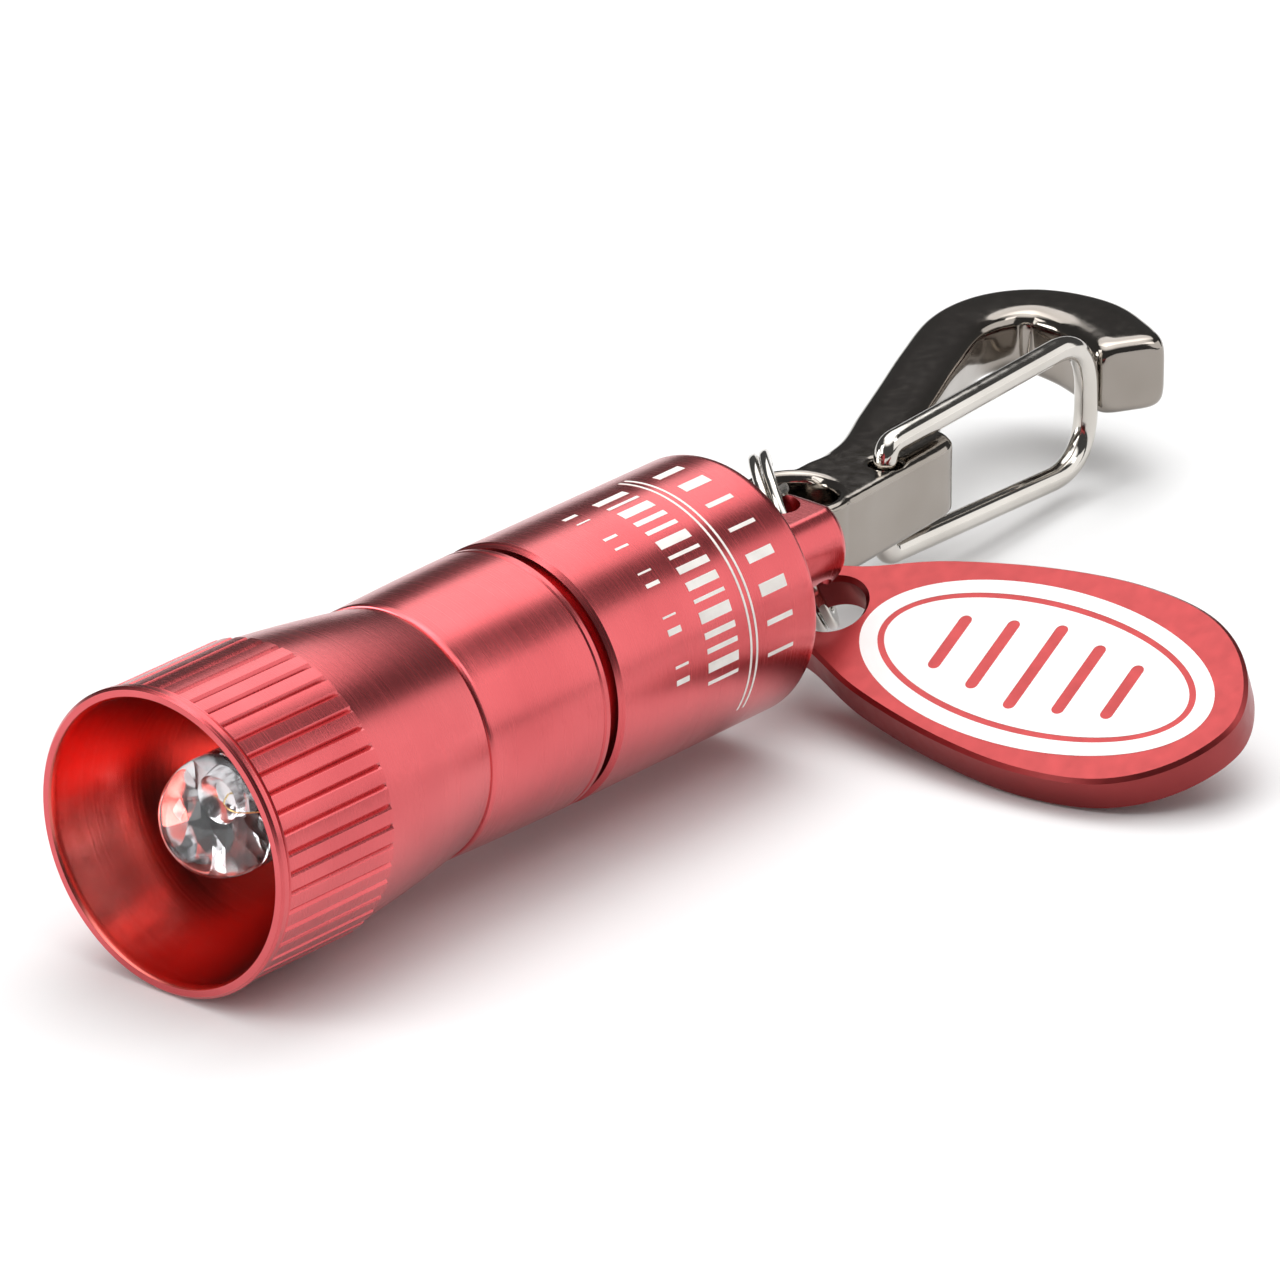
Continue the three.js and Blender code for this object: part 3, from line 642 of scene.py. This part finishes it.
# ---- Lamp ----
def led_lens():
    """The LED's solid lens: a dome, a straight part and the flange at its back."""
    around = 72
    dome = [(LED_DOME_CENTRE - LED_RADIUS * math.cos(t), LED_RADIUS * math.sin(t))
            for t in np.linspace(0.02, math.pi / 2, 28)]
    flange = LED_BACK - LED_FLANGE_LENGTH
    back = rounded([dome[-1], (flange, LED_RADIUS), (flange, LED_FLANGE_RADIUS),
                    (LED_BACK, LED_FLANGE_RADIUS), (LED_BACK, 0.001)], 0.08)
    points, faces = turned(dome + back[1:], around)
    faces.append(tuple(range(around)))
    faces.append(tuple(range(len(points) - around, len(points)))[::-1])
    add_mesh("led_dome", points, faces, EPOXY, "head", ["led_lens"], "clear_epoxy")


def lead(name, outline, replaced):
    """A lead stamped from flat strip, its outline in the xy plane."""
    sections = [[(x, y, z) for x, y in outline] for z in (-LEAD_HALF_WIDTH, LEAD_HALF_WIDTH)]
    add_mesh(name, *skin(sections), TINNED, "head", [replaced], "tinned_steel", smooth=False)


def led_leads():
    """The lead frame: a broad cathode anvil and the slimmer anode post."""
    front = LEAD_FRONT
    lead("led_cathode", [(front, 1.45), (front, -0.05), (front + 1.0, -0.02), (front + 1.7, 0.75),
                         (front + 2.4, 1.02), (CATHODE_END, 1.02), (CATHODE_END, 1.52), (front + 1.5, 1.52),
                         (front + 0.8, 1.5)], "led_cathode_lead")
    end = MODULE_END + 0.35
    lead("led_anode", [(front, -0.62), (front + 0.25, -1.2), (front + 0.9, -1.5), (end, -1.52),
                       (end, -1.02), (front + 1.5, -1.02), (front + 0.8, -0.75)], "led_anode_lead")


def dimple(x, angle, radius):
    """Uneven facets that break up what the bowl behind the lens reflects."""
    return radius * (1 + 0.02 * math.sin(11 * angle + 6 * x))


def led_optics():
    """What shows inside the lens: reflector cup, silvered bowl, die and bond wire."""
    front = LEAD_FRONT
    cup = [(front - 0.12, 0.6), (front - 0.3, 0.58), (front - 0.26, 0.5), (front + 0.1, 0.3),
           (front + 0.1, 0.001), (front + 0.24, 0.001), (front + 0.24, 0.45), (front + 0.1, 0.6)]
    points, faces = turned(cup, 48, closed=True)
    points = [(x, y + DIE_SIDE, z) for x, y, z in points]
    add_mesh("led_reflector_cup", points, faces, TINNED, "head", [], "tinned_steel")
    bowl = bend((front - 0.5, 2.25), (front + 0.7, 1.95), (front + 0.75, 0.3), BOWL_STEPS)
    bowl += bend((front + 0.9, 0.3), (front + 0.85, 2.1), (front - 0.4, 2.32), BOWL_STEPS)
    facets = turned(bowl, BOWL_FACETS, dimple, closed=True)
    add_mesh("led_bowl", *facets, LED_SILVER, "head", [], "tinned_steel", smooth=False)
    corners = ((-1, -1), (1, -1), (1, 1), (-1, 1))
    sections = [[(x, DIE_SIDE + DIE_HALF_SIZE * y, DIE_HALF_SIZE * z) for y, z in corners]
                for x in (front + 0.02, front + 0.02 + DIE_THICKNESS)]
    add_mesh("led_chip", *skin(sections), PHOSPHOR, "head", ["led_die"], "phosphor", smooth=False)
    bond = spline([(front - 0.02, DIE_SIDE, 0), (front - 0.42, 0.35, 0), (front - 0.5, -0.2, 0),
                   (front - 0.02, -0.66, 0)], 10)
    add_mesh("led_bond_wire", *tube(bond, BOND_RADIUS, 8), BRASS, "head", [], "brass")


def turned_piece(name, profile, material, body, replaced, slot, shape=None):
    """A turned ring or disc with eased corners; its profile closes on itself."""
    eased = rounded(profile + [profile[0]], EASE)
    points, faces = turned(eased[:-1], 120, shape, closed=True)
    add_mesh(name, points, faces, material, body, [replaced], slot)


def sleeve_profile(start, end, inner, outer):
    """A plain sleeve's outline, begun in the middle of its bore."""
    return [((start + end) / 2, inner), (start, inner), (start, outer), (end, outer), (end, inner)]


def retainer_thread(x, angle, radius):
    """A fine thread on the retaining ring's rim."""
    if radius <= MODULE_RADIUS - 0.06:
        return radius
    return radius - 0.08 * thread_height(x, angle, 0.3)


def lamp_module():
    """The LED's holder, the threaded ring behind it and the contact plate."""
    holder = sleeve_profile(LED_BACK + 0.3, MODULE_END - 1.2, 1.75, MODULE_RADIUS - 0.1)
    turned_piece("holder_ring", holder, NYLON, "head", "led_holder", "white_nylon")
    ring = refined(sleeve_profile(MODULE_END - 1.0, MODULE_END - 0.1, 2.4, MODULE_RADIUS - 0.05), 0.08)
    turned_piece("retainer", ring, BRASS, "head", "retaining_ring", "brass", retainer_thread)
    tip = CELL_START - 0.3
    disc = [(DISC_FRONT + 0.1, 0.001), (DISC_FRONT, 0.001), (DISC_FRONT, DISC_RADIUS),
            (DISC_BACK, DISC_RADIUS), (DISC_BACK, DISC_BUTTON_RADIUS), (tip, DISC_BUTTON_RADIUS - 0.2),
            (tip, 0.001)]
    turned_piece("contact_plate", disc, BRASS, "contact", "contact_disc", "brass")


# ---- Barrel ----
def barrel_shape(x, angle, radius):
    """The neck's thread and the lug's milled flats."""
    if x > BARREL_END + 0.25:
        flat = LUG_HALF_HEIGHT - 0.5 * max(0.0, x - LUG_END + 0.3)
        return min(radius, flat / max(abs(math.sin(angle)), 1e-6))
    if NECK_START + 0.3 < x < NECK_THREAD_END and radius > BARREL_BORE + 0.3:
        return radius - NECK_THREAD_DEPTH * (1 - thread_height(x, angle))
    return radius


def lug_hole():
    """The lug hole's centre and direction, from the joint that turns in it."""
    joint = JOINTS["ring_swing"]
    centre = (Vector(joint["pos_m"]) - ORIGIN) / MM
    return centre, Vector(joint["axis"]).normalized()


def lug_post():
    """The post behind the barrel, with its rounded end."""
    post = [(x, LUG_RADIUS) for x in np.linspace(BARREL_END + 0.4, LUG_END - LUG_ROUNDING, 18)]
    for t in np.linspace(0.15, math.pi / 2, 8):
        post.append((LUG_END - LUG_ROUNDING * (1 - math.sin(t)), LUG_RADIUS - 0.55 * (1 - math.cos(t))))
    return post + [(LUG_END, 0.001)]


def barrel():
    """The barrel in one turning, with its neck and the lug that carries the ring."""
    neck = refined([(NECK_START, NECK_RADIUS - 0.2), (NECK_START + 0.2, NECK_RADIUS),
                    (NECK_THREAD_END + 0.1, NECK_RADIUS)], THREAD_PITCH / 10)
    front, back = SEAL_GROOVE
    middle = [(front, NECK_RADIUS), (front + 0.02, SEAL_GROOVE_RADIUS), (back - 0.02, SEAL_GROOVE_RADIUS),
              (back, NECK_RADIUS), (BARREL_START, NECK_RADIUS), (BARREL_START, BARREL_RADIUS - 0.2),
              (BARREL_START + 0.2, BARREL_RADIUS)]
    body = [(x, BARREL_RADIUS) for x in np.linspace(BARREL_START + 0.4, BARREL_END - 0.4, 24)]
    rear = [(BARREL_END - 0.2, BARREL_RADIUS), (BARREL_END - 0.06, BARREL_RADIUS - 0.06),
            (BARREL_END, BARREL_RADIUS - 0.22), (BARREL_END, LUG_RADIUS + 0.25),
            (BARREL_END + 0.08, LUG_RADIUS + 0.08), (BARREL_END + 0.25, LUG_RADIUS)]
    bore = [(BORE_END, 0.001), (BORE_END, BARREL_BORE), (NECK_START + 0.1, BARREL_BORE)]
    profile = neck + middle + body + rear + lug_post() + bore
    points, faces = turned(profile, 144, barrel_shape, closed=True)
    piece = add_mesh("barrel_shell", points, faces, RED_TURNED, "barrel", ["tail_barrel"], "red_anodised")
    centre, along = lug_hole()
    reach = along * (LUG_RADIUS + 0.5)
    combine(piece, [rod(centre - reach, centre + reach, LUG_HOLE_RADIUS)], "DIFFERENCE")
    soften(piece.data, 30)


def mark_patch(x0, x1, a0, a1):
    """A thin raised patch on the barrel between two places along it and two angles round it."""
    steps = max(2, math.ceil((a1 - a0) / 3))
    inner, outer = BARREL_RADIUS - MARK_ROOT, BARREL_RADIUS + MARK_HEIGHT
    corners = ((x0, inner), (x1, inner), (x1, outer), (x0, outer))
    sections = []
    for i in range(steps + 1):
        angle = math.radians(a0 + (a1 - a0) * i / steps)
        sections.append([circle(x, radius, angle) for x, radius in corners])
    return skin(sections)


def etched_marks():
    """Generic etched bands: two thin lines with rows of plain blocks and ticks beside them."""
    patches = [(x, x + MARK_LINE_WIDTH, *MARK_LINE_SPAN) for x in MARK_LINES]
    angle = MARK_START
    for i in range(MARK_COUNT):
        width = MARK_WIDTHS[i % len(MARK_WIDTHS)]
        patches.append((*MARK_MIDDLE_ROW, angle, angle + width * 0.55))
        if i % 2 == 0:
            patches.append((*MARK_REAR_ROW, angle, angle + width * 0.6))
        if i % 3 != 2:
            patches.append((*MARK_FRONT_ROW, angle + 1, angle + 1 + width * 0.3))
        angle += width * 0.55 + MARK_GAP
    points, faces = [], []
    for patch in patches:
        more, skins = mark_patch(*patch)
        base = len(points)
        points += more
        faces += [tuple(i + base for i in face) for face in skins]
    add_mesh("etched_marks", points, faces, ETCHED, "barrel", [], "red_anodised")


# ---- Cells, seal and spring ----
def cell_profile(start):
    """A button cell's can, with its cap and the crimped seal between the two."""
    end = start + CELL_LENGTH
    return [(start + 0.2, 0.001), (start, 0.001), (start, CAP_RADIUS), (start + 0.3, CAP_RADIUS + 0.3),
            (start + 0.34, 3.5), (start + 0.5, 3.52), (start + 0.5, 3.62), (start + 0.32, 3.64),
            (start + 0.3, 3.8), (start + 0.45, CELL_RADIUS), (end, CELL_RADIUS), (end, 0.001)]


def power():
    """The sleeve, the four cells with their caps, the seal and the spring behind them."""
    sleeve = sleeve_profile(CELL_START - 0.2, BARREL_END - 1.5, CELL_RADIUS + 0.07, BARREL_BORE - 0.07)
    turned_piece("sleeve", sleeve, NYLON, "barrel", "cell_sleeve", "white_nylon")
    for i in range(CELLS):
        can = cell_profile(CELL_START + i * CELL_PITCH)
        turned_piece(f"button_cell_{i + 1}", can, CELL_STEEL, "barrel", f"cell_{i + 1}", "steel_can")
    middle = sum(SEAL_GROOVE) / 2
    seal = []
    for angle in [TAU * k / 24 for k in range(24)]:
        seal.append((middle + SEAL_RADIUS * math.cos(angle), SEAL_CENTRE + SEAL_RADIUS * math.sin(angle)))
    turned_piece("seal", seal, RUBBER, "barrel", "o_ring", "black_rubber")
    coil_spring()


def coil_spring():
    """A short conical spring between the bottom of the bore and the last cell."""
    rear, front = BARREL_END - 1.6, CELL_START + CELLS * CELL_PITCH + 0.2
    wide, narrow = SPRING_RADII
    coil = []
    for i in range(SPRING_STEPS + 1):
        part = i / SPRING_STEPS
        coil.append(circle(rear + (front - rear) * part, wide + (narrow - wide) * part,
                           part * SPRING_TURNS * TAU))
    points, faces = tube(coil, SPRING_WIRE, 14, up=(1, 0, 0))
    add_mesh("coil_spring", points, faces, SPRING_STEEL, "barrel", ["contact_spring"], "spring_steel")


# ---- Split ring ----
def split_ring():
    """Two flat-wire coils side by side, joined by one short ramp."""
    centre, up = lug_hole()
    turn = math.radians(RING_TURN)
    roll = math.atan2(up.y, up.z)
    across = Vector((math.cos(turn), math.sin(turn) * math.cos(roll), -math.sin(turn) * math.sin(roll)))
    axis = across.cross(up)
    middle = centre + across * (RING_RADIUS - RING_OFFSET)
    outline = [superellipse(TAU * k / 20, RING_EASING) for k in range(20)]
    sections = []
    for i in range(RING_STEPS + 1):
        degrees = RING_END_GAP + (720 - 2 * RING_END_GAP) * i / RING_STEPS
        t = min(max((degrees - 360 + RING_END_GAP) / (2 * RING_END_GAP), 0), 1)
        shift = (t * t * (3 - 2 * t) - 0.5) * RING_COIL_STEP
        angle = math.radians(degrees + RING_END_PLACE)
        out = across * math.cos(angle) + up * math.sin(angle)
        section = []
        for radial, axial in outline:
            radius = RING_RADIUS + RING_WIRE[0] * radial
            section.append(tuple(middle + out * radius + axis * (shift + RING_WIRE[1] * axial)))
        sections.append(section)
    add_mesh("split_ring_coils", *skin(sections), NICKEL, "ring", ["split_ring"], "polished_nickel")


# ---- Hook ----
def hook_point(x, y, z):
    """A point of the hook's frame, in the light's."""
    return (HOOK_EYE[0] + x * math.cos(HOOK_TURN) - y * math.sin(HOOK_TURN),
            HOOK_EYE[1] + x * math.sin(HOOK_TURN) + y * math.cos(HOOK_TURN), z)


def upright(x, y, low, high, radius, flare=0.0, flare_length=0.15):
    """A rod through the hook from bottom to top."""
    return rod(hook_point(x, y, low), hook_point(x, y, high), radius, 64, flare, flare_length)


def end_rows(rows):
    """The nose's last stations, drawn in to round its end."""
    x, y, width, thickness = rows[-1]
    back = Vector((rows[-2][0] - x, rows[-2][1] - y)).normalized()
    made = []
    for i in range(NOSE_STEPS):
        angle = math.pi / 2 * (i + 1) / NOSE_STEPS
        inset = 0.5 * (1 - math.cos(angle))
        station = Vector((x, y)) + back * NOSE_ROUNDING * (1 - math.sin(angle))
        made.append(np.array([station.x, station.y, width - 2 * inset, thickness - 2 * inset]))
    return made


def spine():
    """The cast bar from the eye round to the nose."""
    rows = spline(SPINE, 12)
    tip, full = Vector(rows[-1][:2]), rows[-1][3]
    rows = [row for row in rows if (Vector(row[:2]) - tip).length > NOSE_ROUNDING] + end_rows(rows)
    middles = [row[3] / 2 for row in rows]
    middles[-NOSE_STEPS:] = [full / 2] * NOSE_STEPS
    outline = [superellipse(TAU * k / 64, SECTION_EASING) for k in range(64)]
    sections = []
    for i, (x, y, width, thickness) in enumerate(rows):
        before, after = rows[max(i - 1, 0)], rows[min(i + 1, len(rows) - 1)]
        ahead = Vector((after[0] - before[0], after[1] - before[1])).normalized()
        section = []
        for across, up in outline:
            side = across * width / 2
            height = up * thickness / 2 - middles[i]
            section.append(hook_point(x - ahead.y * side, y + ahead.x * side, height))
        sections.append(section)
    return skin(sections)


def hook_block():
    """The base block that carries the gate, its edges chamfered."""
    near, end = -BLOCK_NEAR, BLOCK_LENGTH
    outline = [(0.2, near)] + bend((end - BLOCK_CORNER, near), (end, near), (end, near + BLOCK_CORNER), 10)
    outline += [(end - 0.6, 0.3), (3.0, 1.3), (0.2, 1.3)]
    levels = ((-HOOK_THICKNESS, BLOCK_CHAMFER), (BLOCK_CHAMFER - HOOK_THICKNESS, 0), (-BLOCK_CHAMFER, 0),
              (0, BLOCK_CHAMFER))
    sections = []
    for z, inset in levels:
        sections.append([hook_point(x, y, z) for x, y in offset_loop(outline, -inset)])
    return skin(sections)


def hook():
    """The casting: spine, block and eye joined, drilled, then melted together and polished."""
    piece = add_mesh("hook_casting", *spine(), NICKEL_PAINTED_DARK, "hook", ["hook_body"], "dark_nickel")
    bottom = -HOOK_THICKNESS
    combine(piece, [hook_block(), upright(0, EYE_SIDE, bottom, 0, EYE_RADIUS, -0.15)], "UNION")
    radius, depth = PIVOT_HOLE
    combine(piece, [upright(0, EYE_SIDE, bottom - 0.2, 0.2, EYE_HOLE_RADIUS, 0.35, 0.55),
                    upright(*GATE_PIVOT, -depth, 1, radius),
                    upright(*GATE_PIVOT, bottom - 1, bottom + depth, radius),
                    upright(GATE_END, GATE_PIVOT[1], bottom - 1, 1, GATE_WIRE_RADIUS + GATE_CLEARANCE)],
            "DIFFERENCE")
    remesh = piece.modifiers.new("cast", "REMESH")
    remesh.mode = "VOXEL"
    remesh.voxel_size = CAST_VOXEL * MM
    smooth = piece.modifiers.new("polish", "SMOOTH")
    smooth.factor = 0.5
    smooth.iterations = 8
    apply_modifiers(piece)
    piece.data.shade_smooth()
    # The darkened nickel goes back on; its darkness is a painted reflection of dark surroundings.
    piece.data.materials.clear()
    piece.data.materials.append(NICKEL_PAINTED_DARK)


def gate_route():
    """The gate wire's centre line in the xz plane: out of the top hole, round the end and back under."""
    x = GATE_PIVOT[0]
    tight, wide = GATE_TIGHT_BEND, GATE_BEND
    reach = GATE_CLEARANCE + GATE_WIRE_RADIUS
    high, low = reach, -HOOK_THICKNESS - reach
    foot = low - GATE_SPREAD
    slope = GATE_SPREAD / (GATE_END - x)
    near_end = GATE_END - wide
    low_turn = foot + wide * slope
    low_start = low - tight * slope
    route = [(x, -GATE_TAIL), (x, high - tight)]
    route += bend((x, high - tight), (x, high), (x + tight, high), 8)[1:]
    route += line((x + tight, high), (near_end, high), 14)
    route += bend((near_end, high), (GATE_END, high), (GATE_END, high - wide), 20)[1:]
    route += line((GATE_END, high - wide), (GATE_END, foot + wide), 6)
    route += bend((GATE_END, foot + wide), (GATE_END, foot), (near_end, low_turn), 20)[1:]
    route += line((near_end, low_turn), (x + tight, low_start), 14)
    route += bend((x + tight, low_start), (x, low), (x, low + tight), 8)[1:]
    route.append((x, GATE_TAIL - HOOK_THICKNESS))
    return route


def gate():
    """The wire gate, one bent length."""
    path = [hook_point(x, GATE_PIVOT[1], z) for x, z in gate_route()]
    side = (-math.sin(HOOK_TURN), math.cos(HOOK_TURN), 0)
    points, faces = tube(path, GATE_WIRE_RADIUS, 32, up=side)
    add_mesh("gate_loop", points, faces, NICKEL, "gate", ["gate_wire"], "polished_nickel")


# ---- Tag ----
def tag_axes():
    """Centre of the tag's hole, and the directions along, across and out of the tag."""
    joint = JOINTS["tag_swing"]
    centre = (Vector(joint["pos_m"]) - ORIGIN) / MM
    normal = Vector(joint["axis"]).normalized()
    level = Vector((normal.y, -normal.x, 0)).normalized()
    if level.y > 0:
        level = -level
    side = normal.cross(level)
    along = level * math.cos(TAG_SWING) + side * math.sin(TAG_SWING)
    return centre, along, normal.cross(along), normal


def tag_point(x, y, z):
    """A point of the tag's frame, in the light's."""
    centre, along, across, normal = tag_axes()
    return tuple(centre + along * x + across * y + normal * z)


def tag():
    """The flat teardrop tag, its edges bevelled and its hole chamfered."""
    outline = [tuple(p) for p in spline(TAG_LOOP, 12, closed=True)]
    half, soft = TAG_THICKNESS / 2, TAG_BEVEL
    levels = ((-half, 2 * soft), (-half, soft), (-half + soft, 0), (half - soft, 0), (half, soft),
              (half, 2 * soft))
    sections = []
    for z, inset in levels:
        sections.append([tag_point(x, y, z) for x, y in offset_loop(outline, inset)])
    piece = add_mesh("tag_body", *skin(sections), RED_TAG, "tag", ["tag_plate"], "red_anodised")
    drill = rod(tag_point(0, 0, -half - 0.1), tag_point(0, 0, half + 0.1), TAG_HOLE_RADIUS, 64, 0.28, 0.3)
    combine(piece, [drill], "DIFFERENCE")
    soften(piece.data, 25)


def tag_oval(size, low, high):
    """An oval's loop in the tag's frame, at each of two heights."""
    length, width = size
    turns = [TAU * i / 120 for i in range(120)]
    loop = [(OVAL_MIDDLE[0] + length * math.cos(t), OVAL_MIDDLE[1] + width * math.sin(t)) for t in turns]
    return [[tag_point(x, y, z) for x, y in loop] for z in (low, high)]


def tag_bar(number, low, high):
    """One of the straight bars with round ends, across the tag; the middle one is number 0."""
    x, side = OVAL_MIDDLE
    x += BAR_SPACING * number
    half_length = BAR_HALF_LENGTH - BAR_SHORTENING * abs(number)
    arc = [math.pi * i / 16 for i in range(17)]
    loop = [(x + BAR_WIDTH * math.cos(t), half_length + BAR_WIDTH * math.sin(t)) for t in arc]
    loop += [(x - BAR_WIDTH * math.cos(t), -half_length - BAR_WIDTH * math.sin(t)) for t in arc]
    return skin([[tag_point(x, y + side, z) for x, y in loop] for z in (low, high)])


def emblem():
    """A generic white oval crossed by five plain bars inside a thin oval line."""
    top = TAG_THICKNESS / 2
    plate = tag_oval(OVAL_SIZE, top - 0.05, top + MARK_HEIGHT)
    piece = add_mesh("tag_emblem", *skin(plate), ENAMEL, "tag", [], "red_anodised")
    low, high = top - 0.2, top + 0.2
    outer = tag_oval(LINE_OUTER_SIZE, low, high)
    inner = tag_oval(LINE_INNER_SIZE, low, high)
    ring = skin([outer[0], outer[1], inner[1], inner[0], outer[0]], capped=False)
    combine(piece, [ring] + [tag_bar(k, low, high) for k in range(-2, 3)], "DIFFERENCE")


# ---- Studio ----
def ground():
    """A white sweep under everything."""
    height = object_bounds()[0].z - FLOOR_GAP
    half = FLOOR_HALF_SIZE
    corners = [(-half, -half, height), (half, -half, height), (half, half, height), (-half, half, height)]
    mesh = bpy.data.meshes.new("floor")
    mesh.from_pydata(corners, [], [(0, 1, 2, 3)])
    floor = bpy.data.objects.new("floor", mesh)
    bpy.context.scene.collection.objects.link(floor)
    mesh.materials.append(plain("white_sweep", (0.84, 0.84, 0.84), (0.86, 0.86, 0.86), 0.7, scale=20))


def sky():
    """A dark room with a bright ceiling, which the nickel reflects."""
    world = bpy.data.worlds.new("studio")
    bpy.context.scene.world = world
    world.use_nodes = True
    tree = world.node_tree
    background = tree.nodes["Background"]
    source = tree.nodes.new("ShaderNodeTexCoord")
    split = tree.nodes.new("ShaderNodeSeparateXYZ")
    made = tree.nodes.new("ShaderNodeValToRGB")
    tree.links.new(source.outputs["Generated"], split.inputs["Vector"])
    stops = made.color_ramp.elements
    (low, low_value), *between, (high, high_value) = SKY_STOPS
    stops[0].position, stops[0].color = low, grey(low_value)
    stops[1].position, stops[1].color = high, grey(high_value)
    for at, value in between:
        stops.new(at).color = grey(value)
    tree.links.new(split.outputs["Z"], made.inputs["Fac"])
    tree.links.new(made.outputs["Color"], background.inputs["Color"])
    background.inputs["Strength"].default_value = SKY_STRENGTH


def softbox(name, toward, distance, size, radiance):
    """A rectangular light of one brightness, facing the middle of the light from a direction."""
    light = bpy.data.lights.new(name, "AREA")
    light.shape = "RECTANGLE"
    light.size, light.size_y = size[0] * MM, size[1] * MM
    light.energy = radiance * math.pi * light.size * light.size_y
    lamp = bpy.data.objects.new(name, light)
    bpy.context.scene.collection.objects.link(lamp)
    ahead = Vector(toward).normalized()
    lamp.location = ORIGIN + Vector((MIDDLE, 0, 0)) * MM + ahead * distance * MM
    across = Vector((1, 0, 0)) - ahead * ahead.x
    across.normalize()
    lamp.rotation_euler = Matrix((across, ahead.cross(across), ahead)).transposed().to_euler()


def camera():
    """A long lens from the front left, looking down 24 degrees."""
    lens = bpy.data.cameras.new("camera")
    lens.lens = CAMERA_LENS
    lens.sensor_width = CAMERA_SENSOR
    lens.clip_start, lens.clip_end = 0.01, 20
    seat = bpy.data.objects.new("camera", lens)
    bpy.context.scene.collection.objects.link(seat)
    seat.location = ORIGIN + Vector(CAMERA_SEAT) * MM
    seat.rotation_euler = (math.radians(CAMERA_TILT), 0, math.radians(CAMERA_TURN))
    bpy.context.scene.camera = seat


head_shell()
led_lens()
led_leads()
led_optics()
lamp_module()
barrel()
etched_marks()
power()
split_ring()
hook()
gate()
tag()
emblem()
ground()
sky()
for box in SOFTBOXES:
    softbox(*box)
camera()

bpy.context.scene.view_settings.view_transform = "Standard"
